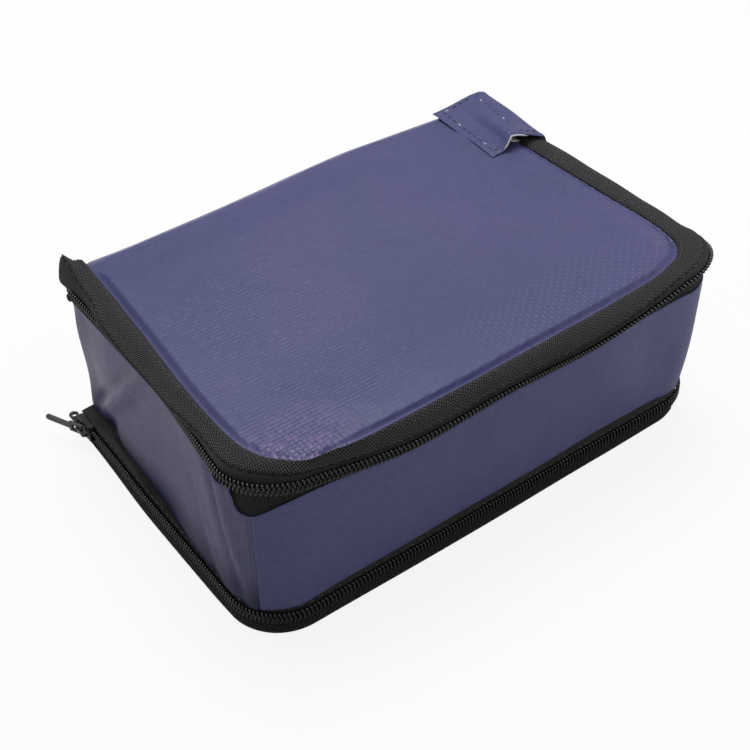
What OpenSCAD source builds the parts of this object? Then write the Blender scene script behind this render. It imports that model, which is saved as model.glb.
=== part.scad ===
// Fire-retardant battery safe bag with two zip-open faces.
// Origin: centre of the flat base at the resting plane. +X along the long side,
// +Y towards the back, where both flaps are hinged, +Z up.

/* [Body] */
// Overall length of the bag along X, without the pull tab
bag_length = 218; // [196:1:240]
// Overall depth of the bag along Y
bag_depth = 148; // [134:1:164]
// Overall height of the closed bag
bag_height = 84; // [76:1:110]
// Radius of the two rounded front corners
front_radius = 22; // [18:1:26]
// Angle round the corner at which the side panel meets the front panel
seam_deg = 22; // [10:1:40]

/* [Layers] */
// Thickness of the coated outer fabric
skin_thick = 0.8; // [0.6:0.05:0.8]
// Thickness of the flame-barrier pads
pad_thick = 3; // [2:0.25:3]
// Thickness of the inner lining
lining_thick = 0.5; // [0.4:0.05:0.5]

/* [Zips] */
// Height of the lower coil's centre line above the floor
low_zip_z = 8.9; // [8.5:0.1:10]
// Distance of the upper coil's centre line below the top
top_zip_drop = 8.4; // [8:0.1:9]
// Inset from the bag's outline of the inner edge of the tape on top of the lid
lid_tape_width = 5.5; // [4:0.5:14]
// Rest position of both sliders along Y, measured to the slider's middle
slider_y = 68; // [62:0.5:68]

/* [Pulls] */
// Length of a puller from its pivot to its tip
pull_length = 19; // [14:0.5:24]
// Width of a puller bar
pull_width = 2.4; // [2:0.1:3]
// Angle at which the lower puller stands away from the zip
low_pull_deg = 25; // [18:1:40]

/* [Corner tab] */
// Length of the corner tab along Y
tab_length = 42; // [30:1:46]
// Distance from the tab's front edge to the bag's middle line
tab_front_y = 28; // [20:1:30]
// Distance of the tab's sewn edge from the bag's middle line
tab_sewn_x = 75; // [68:1:80]

/* [Stitching] */
// Length of one visible stitch
stitch_length = 3.6; // [2.6:0.2:4]
// Distance from one stitch to the next
stitch_pitch = 6; // [5:0.5:9]

/* [Hidden] */
$fn = 64;

navy = [0.33, 0.34, 0.50];
black = [0.13, 0.13, 0.13];
white = [0.90, 0.90, 0.88];
grey = [0.55, 0.56, 0.55];
metal = [0.42, 0.43, 0.43];

half_length = bag_length / 2;
half_depth = bag_depth / 2;
// The front corner arcs are centred at [+-corner_x, -corner_y]
corner_x = half_length - front_radius;
corner_y = half_depth - front_radius;

// ---- plan shapes ---------------------------------------------------------
// An inset is a distance inwards from the bag's outline; a negative one lies outside it.
// side is -1 for the left and 1 for the right.

// Full plan of the bag, moved inwards: round at the front, square at the back
module plan(inset) {
    radius = front_radius - inset;
    union() {
        translate([-(half_length - inset), -corner_y])
            square([2 * (half_length - inset), corner_y + half_depth - inset]);
        translate([-corner_x, -(half_depth - inset)]) square([2 * corner_x, radius + 1]);
        for (side = [-1, 1]) translate([side * corner_x, -corner_y]) circle(r = radius);
    }
}

// A quarter ring round one front corner
module corner_ring(side, outer, inner) {
    cut = front_radius + 1;
    translate([side * corner_x, -corner_y]) intersection() {
        difference() {
            circle(r = front_radius - outer);
            circle(r = front_radius - inner);
        }
        translate([side > 0 ? 0 : -cut, -cut]) square([cut, cut]);
    }
}

// U-shaped band along the left, front and right sides between two insets
module band(outer, inner, left_end, right_end) {
    width = inner - outer;
    union() {
        translate([-(half_length - outer), -corner_y]) square([width, corner_y + left_end]);
        translate([half_length - inner, -corner_y]) square([width, corner_y + right_end]);
        translate([-corner_x, -(half_depth - outer)]) square([2 * corner_x, width]);
        for (side = [-1, 1]) corner_ring(side, outer, inner);
    }
}

// The part of the outer fabric's corner ring between two angles, measured from the side face
module skin_arc(side, start, end) {
    reach = 60; // well past the ring
    translate([side * corner_x, -corner_y]) intersection() {
        difference() {
            circle(r = front_radius);
            circle(r = front_radius - skin_thick);
        }
        polygon(concat([[0, 0]], [for (a = [start, (start + end) / 2, end])
            [side * reach * cos(a), -reach * sin(a)]]));
    }
}

// Extrudes its children from z0 up to z1
module slab(z0, z1) {
    translate([0, 0, z0]) linear_extrude(height = z1 - z0) children();
}

// ---- stitches ------------------------------------------------------------

stitch_radius = 0.2;

// One stitch standing along Z with its middle at the origin
module thread(length) {
    cylinder(r = stitch_radius, h = length, center = true, $fn = 16);
}

// One stitch lying along X
module stitch(length = stitch_length) {
    rotate([0, 90, 0]) thread(length);
}

// Turn about Z that points X at an angle round a front corner, measured from the side face
function corner_turn(side, angle) = side > 0 ? -angle : 180 + angle;

// Stitches round the left, front and right sides
module stitch_run(inset, z, end) {
    margin = 2;
    radius = front_radius - inset;
    side_last = floor((corner_y + end - 2 * margin) / stitch_pitch);
    front_last = floor((2 * corner_x - 2 * margin) / stitch_pitch);
    arc_steps = max(2, floor(radius * 1.5708 / stitch_pitch));
    for (side = [-1, 1], i = [0 : side_last])
        translate([side * (half_length - inset), -corner_y + margin + i * stitch_pitch, z])
            rotate([0, 0, 90]) stitch();
    for (i = [0 : front_last])
        translate([-corner_x + margin + i * stitch_pitch, -(half_depth - inset), z]) stitch();
    for (side = [-1, 1], i = [1 : arc_steps - 1])
        translate([side * corner_x, -corner_y, z])
            rotate([0, 0, corner_turn(side, i * 90 / arc_steps)])
                translate([radius, 0, 0]) rotate([0, 0, 90]) stitch(stitch_length * 0.8);
}

// ---- walls ---------------------------------------------------------------

wall_z0 = 17;
wall_z1 = bag_height - 13.5;
seam_half_deg = 0.5;          // half of the gap between side and front panels
back_wall_trim = 2.8;         // back wall's distance from each side face

module side_wall(side) {
    slab(wall_z0, wall_z1) union() {
        translate([side > 0 ? half_length - skin_thick : -half_length, -corner_y])
            square([skin_thick, corner_y + half_depth]);
        skin_arc(side, 0, seam_deg - seam_half_deg);
    }
}

module front_wall_outer() {
    color(navy) slab(wall_z0, wall_z1) union() {
        translate([-corner_x, -half_depth]) square([2 * corner_x, skin_thick]);
        for (side = [-1, 1]) skin_arc(side, seam_deg + seam_half_deg, 90);
    }
}
module left_wall_outer() { color(navy) side_wall(-1); }
module right_wall_outer() { color(navy) side_wall(1); }
module back_wall_outer() {
    color(navy) translate([-(half_length - back_wall_trim), half_depth - skin_thick, 2])
        cube([2 * (half_length - back_wall_trim), skin_thick, bag_height - 3.9]);
}

pad_z0 = 15;
pad_z1 = bag_height - 14;
pad_height = pad_z1 - pad_z0;
pad_inset = 1.6;
pad_end_gap = 6;              // from a pad's end to the outline at the back corners
lining_inset = 4.7;           // clears the thickest pads

module side_padding(side) {
    translate([side > 0 ? half_length - pad_inset - pad_thick : -(half_length - pad_inset),
        -corner_y, pad_z0])
        cube([pad_thick, corner_y + half_depth - pad_end_gap, pad_height]);
}

module front_padding() {
    color(white) translate([-corner_x, -(half_depth - pad_inset), pad_z0])
        cube([2 * corner_x, pad_thick, pad_height]);
}
module left_padding() { color(white) side_padding(-1); }
module right_padding() { color(white) side_padding(1); }
module back_padding() {
    color(white)
        translate([-(half_length - pad_end_gap), half_depth - pad_inset - pad_thick, pad_z0])
            cube([2 * (half_length - pad_end_gap), pad_thick, pad_height]);
}
module body_lining() {
    color(white) slab(pad_z0 - 1, pad_z1 + 0.5) difference() {
        plan(lining_inset);
        plan(lining_inset + lining_thick);
    }
}

// The middle floor: a pad with a cover sheet below and above it
mid_z = bag_height / 2 + 0.6;
mid_inset = 5.4;
mid_pad_half = 1.5;
mid_cover_near = 1.6;         // a cover's near and far faces, from the middle plane
mid_cover_far = 2.1;

module mid_floor_pad() {
    color(white) slab(mid_z - mid_pad_half, mid_z + mid_pad_half) plan(mid_inset);
}
module mid_floor_cover() {
    color(grey) {
        slab(mid_z - mid_cover_far, mid_z - mid_cover_near) plan(mid_inset);
        slab(mid_z + mid_cover_near, mid_z + mid_cover_far) plan(mid_inset);
    }
}

// ---- zips on the body ----------------------------------------------------

top_zip_z = bag_height - top_zip_drop;
tape_inset = 0.9;             // inset of the tape's outer face
tape_thick = 0.6;
coil_gap = 0.5;               // half of the gap between the two coils
coil_width = 2.4;             // along Z
coil_thick = 1.6;             // outwards from the tape
coil_lift = 0.05;             // between tape and coil
zip_end = half_depth - 0.2;   // where the tapes end at the back
coil_end = half_depth - 3;
park_end = slider_y - 7.5;    // where the flap-side tape stops short of the parked slider

// Bottom of the coil above or below a zip's centre line
function coil_above(zip_z) = zip_z + coil_gap;
function coil_below(zip_z) = zip_z - coil_gap - coil_width;

module tape_band(left_end = zip_end, right_end = zip_end) {
    band(tape_inset, tape_inset + tape_thick, left_end, right_end);
}
module coil_band(z0, left_end, right_end) {
    slab(z0, z0 + coil_width)
        band(tape_inset - coil_thick, tape_inset - coil_lift, left_end, right_end);
}
module end_stops(z0) {
    tape_x = half_length - tape_inset;
    for (side = [-1, 1])
        translate([side > 0 ? tape_x + coil_lift : -(tape_x + coil_thick), coil_end + 0.1, z0])
            cube([coil_thick - coil_lift, 2.5, coil_width]);
}

module upper_zip_body_tape() {
    color(black) slab(bag_height - 20, top_zip_z - coil_gap) tape_band();
}
module upper_zip_body_coil() { color(black) coil_band(coil_below(top_zip_z), coil_end, coil_end); }
module upper_zip_end_stops() { color(metal) end_stops(coil_below(top_zip_z)); }
module lower_zip_body_tape() { color(black) slab(low_zip_z + coil_gap, 22) tape_band(); }
module lower_zip_body_coil() { color(black) coil_band(coil_above(low_zip_z), coil_end, coil_end); }
module lower_zip_end_stops() { color(metal) end_stops(coil_above(low_zip_z)); }

edge_stitch_inset = tape_inset - 0.25;

// Upright stitches beside each corner seam, on the front panel
module wall_seam_stitching() {
    pitch = 4;
    color(black) for (side = [-1, 1], i = [0 : floor((wall_z1 - wall_z0 - 8) / pitch)])
        translate([side * corner_x, -corner_y, wall_z0 + 4 + i * pitch])
            rotate([0, 0, corner_turn(side, seam_deg + 2.5)])
                translate([front_radius + 0.25, 0, 0]) thread(2.4);
}
module lower_tape_stitching() {
    color(black) stitch_run(edge_stitch_inset, wall_z0 - 1.6, zip_end - 14);
}

// ---- flap layers ---------------------------------------------------------
// Layer starts are measured inwards from a flap's outer face.

hinge_gap = 0.5;              // the flap panels stop at least this far short of the back plane
flap_skin_inset = 1.6;
flap_pad_inset = 3.2;         // also the lining's
flap_pad_start = 0.9;
flap_lining_start = flap_pad_start + pad_thick + 0.1;
lid_face_z = bag_height - 0.8;

module flap_plan(inset) {
    difference() {
        plan(inset);
        translate([-half_length, half_depth - max(hinge_gap, inset)])
            square([bag_length, half_depth]);
    }
}
module lid_layer(start, thick, inset) {
    slab(lid_face_z - start - thick, lid_face_z - start) flap_plan(inset);
}
module base_layer(start, thick, inset) {
    slab(start, start + thick) flap_plan(inset);
}

// ---- lid -----------------------------------------------------------------

module lid_outer() { color(navy) lid_layer(0, skin_thick, flap_skin_inset); }
module lid_padding() { color(white) lid_layer(flap_pad_start, pad_thick, flap_pad_inset); }
module lid_lining() { color(white) lid_layer(flap_lining_start, lining_thick, flap_pad_inset); }
module lid_zip_tape() {
    flat_top = bag_height - 0.1;
    color(black) union() {
        // flat on the lid
        slab(flat_top - tape_thick, flat_top) band(tape_inset, lid_tape_width, zip_end, zip_end);
        // upright edge
        slab(bag_height - 3.4, bag_height - 0.4) tape_band();
        // down to the zip, open behind the slider's place on the right
        slab(top_zip_z + coil_gap, bag_height - 3.2) tape_band(right_end = park_end);
    }
}
module lid_zip_coil() { color(black) coil_band(coil_above(top_zip_z), coil_end, park_end); }
module lid_stitching() {
    hinge_margin = 20;
    color(black) {
        stitch_run(lid_tape_width - 2.3, bag_height + 0.15, zip_end - 2);
        // straight row along the hinge
        for (i = [0 : floor((bag_length - 2 * hinge_margin) / stitch_pitch)])
            translate([-half_length + hinge_margin + i * stitch_pitch,
                half_depth - 4.2, bag_height - 0.55]) stitch();
    }
}

// ---- base flap -----------------------------------------------------------

module base_outer() { color(navy) base_layer(0, skin_thick, flap_skin_inset); }
module base_padding() { color(white) base_layer(flap_pad_start, pad_thick, flap_pad_inset); }
module base_lining() { color(white) base_layer(flap_lining_start, lining_thick, flap_pad_inset); }
module base_zip_tape() {
    color(black) union() {
        slab(0.1, 4.2) tape_band();
        // up to the zip, open behind the slider's place on the left
        slab(4, low_zip_z - coil_gap) tape_band(left_end = park_end);
    }
}
module base_zip_coil() { color(black) coil_band(coil_below(low_zip_z), park_end, coil_end); }
module base_stitching() { color(black) stitch_run(edge_stitch_inset, 2.6, zip_end - 2); }

// ---- sliders -------------------------------------------------------------
// Drawn with x along the zip (nose towards +x), y across it, z away from the tape.

slider_gap = 0.15;            // between the plates and what runs between them
front_z = coil_thick + slider_gap;    // inner face of the front plate
front_face_z = front_z + 1;   // outer face of the front plate
back_z = -tape_thick - slider_gap;    // inner face of the back plate
back_plate_thick = 0.8;
web_thick = 0.8;              // post and lock ear, thin enough to pass between the coils
channel_width = 6.1;
pivot_z = front_face_z + 0.85;

module slider_plan() {
    polygon([[-5.6, -2.9], [-4.8, -3.7], [1, -4.1], [4.6, -4.4], [6, -3.4],
        [6, 3.4], [4.6, 4.4], [1, 4.1], [-4.8, 3.7], [-5.6, 2.9]]);
}

// Post that joins the plates and parts the coils
module slider_post(z0, z1) {
    translate([1.6, -web_thick / 2, z0]) cube([3.6, web_thick, z1 - z0]);
}

module slider_body() {
    difference() {
        union() {
            // front plate with its two side walls, and the back plate
            slab(0.2, front_face_z) slider_plan();
            slab(back_z - back_plate_thick, back_z) slider_plan();
            slider_post(-tape_thick - 0.2, front_z + 0.2);
            // neck and lock ear on the nose, in the middle plane
            translate([5.4, -web_thick / 2, front_z]) cube([2, web_thick, 2.2]);
            translate([6.6, web_thick / 2, 0.1]) rotate([90, 0, 0])
                linear_extrude(height = web_thick)
                    polygon([[0, 0], [4.6, 0], [6, 1.2], [6, 2.7], [4.8, 3.9], [0, 3.9]]);
        }
        // channel for the coils, open at both ends, clear of the post
        difference() {
            translate([-7, -channel_width / 2, 0]) cube([13.5, channel_width, front_z]);
            slider_post(-1, front_z + 1);
        }
        // hole in the lock ear
        translate([10.2, 0, 2.1]) rotate([90, 0, 0])
            cylinder(r = 0.95, h = 4, center = true, $fn = 32);
    }
}

// Loop on the front plate that holds the puller's pin
module slider_bridge() {
    width = 2;
    translate([0, width / 2, front_face_z + 0.02]) rotate([90, 0, 0])
        linear_extrude(height = width) difference() {
            polygon([[-3.9, 0], [-3.9, 1.5], [-2.9, 2.5], [2.9, 2.5], [3.9, 1.5], [3.9, 0]]);
            polygon([[-2.7, -1], [-2.7, 1.2], [-2.2, 1.65], [2.2, 1.65], [2.7, 1.2], [2.7, -1]]);
        }
}

// Puller pointing along +x from its pivot at the origin
module puller() {
    thick = 1.2;
    fork_width = 4.8;
    prong_width = 1.1;
    bar_start = 6;
    tip_x = pull_length - pull_width / 2;
    union() {
        // pin, two prongs and the crosspiece that joins them
        rotate([90, 0, 0]) cylinder(r = thick / 2, h = fork_width, center = true, $fn = 32);
        for (y = [-fork_width / 2, fork_width / 2 - prong_width])
            translate([0, y, -thick / 2]) cube([5.9, prong_width, thick]);
        translate([4.8, -fork_width / 2, -thick / 2]) cube([1.6, fork_width, thick]);
        // bar with a round tip
        translate([bar_start, -pull_width / 2, -thick / 2])
            cube([tip_x - bar_start, pull_width, thick]);
        translate([tip_x, 0, -thick / 2]) cylinder(r = pull_width / 2, h = thick, $fn = 32);
    }
}
module turned_puller(angle) {
    translate([0, 0, pivot_z]) rotate([0, -angle, 0]) puller();
}

// Upper slider on the right side, lower one on the left, both with the nose to the back
module at_upper() {
    translate([half_length - tape_inset, slider_y, top_zip_z]) rotate([90, 0, 90]) children();
}
module at_lower() {
    translate([-(half_length - tape_inset), slider_y, low_zip_z]) rotate([-90, 0, 90]) children();
}

upper_pull_deg = 176;         // laid over the slider, towards the front

module upper_slider_body() { color(metal) at_upper() slider_body(); }
module upper_slider_bridge() { color(metal) at_upper() slider_bridge(); }
module upper_puller() { color(grey) at_upper() turned_puller(upper_pull_deg); }
module lower_slider_body() { color(metal) at_lower() slider_body(); }
module lower_slider_bridge() { color(metal) at_lower() slider_bridge(); }
module lower_puller() { color(grey) at_lower() turned_puller(low_pull_deg); }

// ---- corner tab ----------------------------------------------------------

tab_z = bag_height + 0.5;
tab_edge = half_length + 1.2; // inner face of the part that hangs over the edge
tab_bend = 3;                 // inner radius of the bend
tab_drop = 3.4;
tab_outer_lift = 0.65;        // outer fabric's offset from the backing's inner face
tab_outer_thick = 0.75;

// L-shaped section: flat on the lid, then round the edge and down
module tab_section(lift, thick) {
    bend_x = tab_edge - tab_bend;
    union() {
        translate([tab_sewn_x, tab_z + lift]) square([bend_x - tab_sewn_x, thick]);
        translate([tab_edge + lift, tab_z - tab_drop]) square([thick, tab_drop - tab_bend]);
        translate([bend_x, tab_z - tab_bend]) intersection() {
            difference() {
                circle(r = tab_bend + lift + thick);
                circle(r = tab_bend + lift);
            }
            square([20, 20]);
        }
    }
}

// One layer of the tab, shortened by trim at both ends
module tab_piece(lift, thick, trim) {
    translate([0, tab_front_y + tab_length - trim, 0]) rotate([90, 0, 0])
        linear_extrude(height = tab_length - 2 * trim) tab_section(lift, thick);
}

module corner_tab_backing() { color(white) tab_piece(0, 0.6, 0.6); }
module corner_tab_outer() { color(navy) tab_piece(tab_outer_lift, tab_outer_thick, 0); }

// Rectangle of stitches on the flat part
module corner_tab_stitching() {
    length = 2.6;
    pitch = 4;
    margin = 3.5;
    z = tab_z + tab_outer_lift + tab_outer_thick + 0.22;
    x_end = tab_edge - 6;
    y_front = tab_front_y + margin;
    y_back = tab_front_y + tab_length - margin;
    color(white) {
        for (i = [0 : floor((x_end - tab_sewn_x - 4) / pitch)], y = [y_front, y_back])
            translate([tab_sewn_x + 4.6 + i * pitch, y, z]) stitch(length);
        for (i = [0 : floor((y_back - y_front) / pitch) - 1], x = [tab_sewn_x + 3, x_end + 1.5])
            translate([x, y_front + 2 + i * pitch, z]) rotate([0, 0, 90]) stitch(length);
    }
}

front_wall_outer();
left_wall_outer();
right_wall_outer();
back_wall_outer();
front_padding();
left_padding();
right_padding();
back_padding();
body_lining();
mid_floor_pad();
mid_floor_cover();
upper_zip_body_tape();
upper_zip_body_coil();
upper_zip_end_stops();
lower_zip_body_tape();
lower_zip_body_coil();
lower_zip_end_stops();
wall_seam_stitching();
lower_tape_stitching();
lid_outer();
lid_padding();
lid_lining();
lid_zip_tape();
lid_zip_coil();
lid_stitching();
base_outer();
base_padding();
base_lining();
base_zip_tape();
base_zip_coil();
base_stitching();
upper_slider_body();
upper_slider_bridge();
upper_puller();
lower_slider_body();
lower_slider_bridge();
lower_puller();
corner_tab_outer();
corner_tab_backing();
corner_tab_stitching();
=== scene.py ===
import bpy, math
import numpy as np
from mathutils import Matrix, Vector


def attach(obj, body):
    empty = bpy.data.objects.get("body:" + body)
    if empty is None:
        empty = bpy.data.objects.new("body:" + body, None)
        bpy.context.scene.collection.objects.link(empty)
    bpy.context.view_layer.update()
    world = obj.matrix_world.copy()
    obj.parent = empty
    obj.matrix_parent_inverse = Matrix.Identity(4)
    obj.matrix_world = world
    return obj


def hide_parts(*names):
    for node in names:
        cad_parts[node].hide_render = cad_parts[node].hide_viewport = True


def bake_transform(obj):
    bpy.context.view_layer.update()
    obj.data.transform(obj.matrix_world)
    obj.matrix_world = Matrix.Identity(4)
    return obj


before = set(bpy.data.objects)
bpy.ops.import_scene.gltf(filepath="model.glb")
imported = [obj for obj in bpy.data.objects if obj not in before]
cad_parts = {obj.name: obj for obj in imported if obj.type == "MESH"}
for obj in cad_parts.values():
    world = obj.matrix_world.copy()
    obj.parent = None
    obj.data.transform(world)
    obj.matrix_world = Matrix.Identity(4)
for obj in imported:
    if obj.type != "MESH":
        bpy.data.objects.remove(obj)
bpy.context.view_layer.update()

MM = 0.001
PI = math.pi

# ------------------------------------------------------------------ plan path
# s runs round the open U of the side band: back-left end, left side, front, right side.
HX, HY, R = 108.9, 73.9, 21.9
A_, C_, B_ = 71 + HY - R, PI * R / 2, 2 * (HX - R)
L_ = 2 * A_ + 2 * C_ + B_


def base(s):
    s = np.asarray(s, float)
    t1 = (s - A_) / R
    t2 = (s - A_ - C_ - B_) / R
    c = [s < A_, s < A_ + C_, s < A_ + C_ + B_, s < A_ + 2 * C_ + B_]
    x = np.select(c, [-HX + 0 * s, -HX + R - R * np.cos(t1), -HX + R + (s - A_ - C_), HX - R + R * np.sin(t2)], HX)
    y = np.select(c, [71 - s, -HY + R - R * np.sin(t1), -HY + 0 * s, -HY + R - R * np.cos(t2)], -HY + R + (s - A_ - 2 * C_ - B_))
    nx = np.select(c, [-1 + 0 * s, -np.cos(t1), 0 * s, np.sin(t2)], 1.0)
    ny = np.select(c, [0 * s, -np.sin(t1), -1 + 0 * s, -np.cos(t2)], 0.0)
    return np.stack([x, y], -1), np.stack([nx, ny], -1)


def pchip(xk, yk, x):
    xk = np.asarray(xk, float)
    yk = np.asarray(yk, float)
    one = yk.ndim == 1
    if one:
        yk = yk[:, None]
    shp = np.shape(x)
    x = np.clip(np.asarray(x, float).ravel(), xk[0], xk[-1])
    h = np.diff(xk)[:, None]
    dl = np.diff(yk, axis=0) / h
    m = np.zeros_like(yk)
    pr = dl[:-1] * dl[1:]
    sm = dl[:-1] + dl[1:]
    m[1:-1] = np.where(pr > 0, 2 * pr / np.where(np.abs(sm) < 1e-9, 1e-9, sm), 0)
    m[0], m[-1] = dl[0], dl[-1]
    i = np.clip(np.searchsorted(xk, x, side="right") - 1, 0, len(xk) - 2)
    hh = h[i]
    t = (x - xk[i])[:, None] / hh
    y = yk[i] * (1 + 2 * t) * (1 - t) ** 2 + m[i] * hh * t * (1 - t) ** 2 + yk[i + 1] * t * t * (3 - 2 * t) + m[i + 1] * hh * t * t * (t - 1)
    return y[:, 0].reshape(shp) if one else y.reshape(shp + (yk.shape[1],))


def sstep(a, b, x):
    t = np.clip((x - a) / (b - a), 0, 1)
    return t * t * (3 - 2 * t)


def gauss(x, c, w):
    return np.exp(-(((x - c) / w) ** 2))


# How far the sagging bag strays from its straight outline, at the upper and the lower zip
KT = [0, A_ / 2, A_ + C_ / 2, A_ + C_ + B_ / 4, A_ + C_ + B_ / 2, A_ + C_ + 3 * B_ / 4, A_ + C_ + B_ + C_ / 2, A_ + 2 * C_ + B_ + 10, A_ + 2 * C_ + B_ + A_ / 2, L_]
VT = [[4.2, 0.1, 1.0], [5.2, 1.2, -1.4], [-1.9, 2.3, 0.6], [-0.8, -3.6, -2.0], [0.7, -2.8, -0.9], [-5.0, -3.3, -3.0], [1.1, -0.4, 2.0], [0, 0, 0], [0, 0, 0], [0, 0, 0]]
KL = [0, 14, A_ / 2, A_ + C_ / 2, A_ + C_ + B_ / 4, A_ + C_ + B_ / 2, A_ + C_ + 3 * B_ / 4, A_ + C_ + B_ + C_ / 2, A_ + 2 * C_ + B_ + 10, A_ + 2 * C_ + B_ + A_ / 2, L_]
VL = [[0, 0, 0], [0, 0, 0], [-1.0, 0.1, 0.4], [-1.1, 3.4, 0.7], [1.3, 4.0, 0.4], [0.2, 4.6, 0.3], [-0.8, 5.2, 0.6], [4.1, 5.8, 0], [0.5, 1, 0], [0.3, 0, 0], [0, 0, 0]]
ZT, ZL = 75.6, 8.9


def nat(xk, yk):
    """Natural cubic spline through the knots, as a function."""
    xk = np.asarray(xk, float)
    yk = np.asarray(yk, float)
    n = len(xk)
    h = np.diff(xk)
    Am = np.zeros((n, n))
    rhs = np.zeros_like(yk)
    Am[0, 0] = Am[-1, -1] = 1
    for i in range(1, n - 1):
        Am[i, i - 1], Am[i, i], Am[i, i + 1] = h[i - 1], 2 * (h[i - 1] + h[i]), h[i]
        rhs[i] = 6 * ((yk[i + 1] - yk[i]) / h[i] - (yk[i] - yk[i - 1]) / h[i - 1])
    M = np.linalg.solve(Am, rhs)

    def f(x):
        x = np.clip(x, xk[0], xk[-1])
        i = np.clip(np.searchsorted(xk, x, side="right") - 1, 0, n - 2)
        hh = h[i][..., None]
        a = (xk[i + 1] - x)[..., None] / hh
        b = (x - xk[i])[..., None] / hh
        return a * yk[i] + b * yk[i + 1] + ((a ** 3 - a) * M[i] + (b ** 3 - b) * M[i + 1]) * hh * hh / 6
    return f


# The upper zip climbs on to the lid round the front-right corner
LIFT = ([0, 250, 275, 300, 320, 332, 342, 352, 362, 376, 489], [0, 0, 1.5, 3.3, 3.7, 4.4, 4.5, 3.8, 2.4, 0, 0])


def upper(s):
    """Centre line of the upper coil."""
    P, N = base(s)
    Q = np.concatenate([P, np.full(P.shape[:-1] + (1,), ZT)], -1) + pchip(KT, VT, s)
    Q[..., 2] += pchip(LIFT[0], LIFT[1], s)
    return Q, N


def lower(s):
    P, N = base(s)
    return np.concatenate([P, np.full(P.shape[:-1] + (1,), ZL)], -1) + pchip(KL, VL, s), N


def side(s, z, out=0.0):
    """Point of the side band at path length s and height z, pushed outwards by out."""
    u, N = upper(s)
    l, _ = lower(s)
    t = np.clip((z - ZL) / (ZT - ZL), -0.2, 1.06)
    P = l[..., :2] + (u[..., :2] - l[..., :2]) * t[..., None] + N * np.asarray(out)[..., None]
    return np.concatenate([P, z[..., None] + 0 * P[..., :1]], -1)


# Height of the wall fabric's lower edge, and its drop below the upper coil's centre line
WB = ([0, 12, 27, 44, 62, 80, 97, 113, 127, 135, 141, 152, 168, 185, 203, 223, 243, 265, 287, 298, 309, 323, 335, 345, 352, 365, 400, 489],
      [14.5, 15.5, 16.5, 15.5, 12.9, 12.2, 12.0, 12.4, 12.7, 12.4, 13.0, 13.7, 15.1, 15.6, 15.8, 16.3, 16.3, 16.3, 17.5, 17.9, 17.8, 17.0, 14.6, 13.0, 12.5, 13.6, 15.5, 16])
WD = ([0, 60, 110, 126, 129.4, 130.4, 131.4, 133.7, 137.4, 141.8, 147.8, 154.5, 161.8, 170.9, 185, 244, 285, 302, 312, 322, 330, 337, 345, 352, 362, 376, 489],
      [2.9, 2.9, 2.9, 2.9, 3.2, 5.8, 10.8, 13.6, 14.2, 12.1, 8.4, 5.9, 4.7, 3.8, 3.1, 2.8, 2.4, 2.3, 3.7, 5.1, 7.0, 9.0, 9.3, 8.4, 5.6, 3.0, 3.0])
# Distance from the outline in to the lid tape's inner edge
TI = ([0, 12, 31, 49, 66.5, 83.4, 98.5, 112, 121, 130.6, 138, 146.7, 154.5, 160.7, 168, 184, 193, 210, 228, 247, 267, 287, 309, 320, 328.6, 340, 352, 362, 374, 383, 394, 405, 417, 428.6, 445, 465, 489],
      [14.2, 13.4, 12.1, 10.8, 9.3, 7.8, 7.0, 6.7, 7.1, 7.9, 7.4, 6.2, 3.5, 1.2, 0.2, -0.2, -0.2, 0.0, 0.4, 1.4, 2.1, 2.9, 4.1, 5.2, 7.7, 10.0, 11.2, 11.2, 9.9, 9.8, 10.4, 10.8, 11.2, 11.7, 12, 12, 12])
HINGE = ([-109, -91, -79, -61, -42, -18, 7, 30, 49, 77, 109], [-0.1, -0.2, -0.4, 0.1, 0.7, 1.9, 3.5, 4.4, 3.9, 3.1, 2.2])


def lid_z(x, y):
    """Height of the lid along its tape edge and hinge: it puffs up towards the back."""
    w = np.clip((y + 74) / 148, 0, 1.05)
    return 84.2 + pchip(HINGE[0], HINGE[1], x) * w ** 1.5


# Outward roll of the lid tape over its shoulder, and how low that roll sits
ROLL = ([-8, 0, 12, 22, 32, 60, 84, 98, 110, 125, 140, 165, 200, 290, 330, 345, 365, 390, 430, 460, 489, 495],
        [0.5, 0.8, 1.2, 2.8, 7.4, 9.0, 7.8, 4.0, 1.4, 1.0, 1.2, 1.6, 1.8, 1.6, 1.2, 1.4, 5.2, 8.4, 8.4, 7.0, 4.6, 4.6])
ROLLZ = ([0, 24, 36, 60, 84, 96, 110, 365, 380, 489], [0.6, 0.46, 0.22, 0.14, 0.22, 0.46, 0.6, 0.6, 0.78, 0.78])

# Towards the front-right corner the upper zip leans outwards, so it is seen almost edge on
TILT = ([0, 150, 172, 215, 255, 300, 335, 352, 372, 396, 489], [0, 0, 10, 25, 36, 43, 43, 38, 20, 0, 0])


def tilt_of(s):
    return np.radians(pchip(TILT[0], TILT[1], s))


def tape_inner(s):
    P, N = base(s)
    Q = P - N * pchip(TI[0], TI[1], s)[..., None]
    return np.concatenate([Q, lid_z(Q[..., 0], Q[..., 1])[..., None]], -1), N


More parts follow.
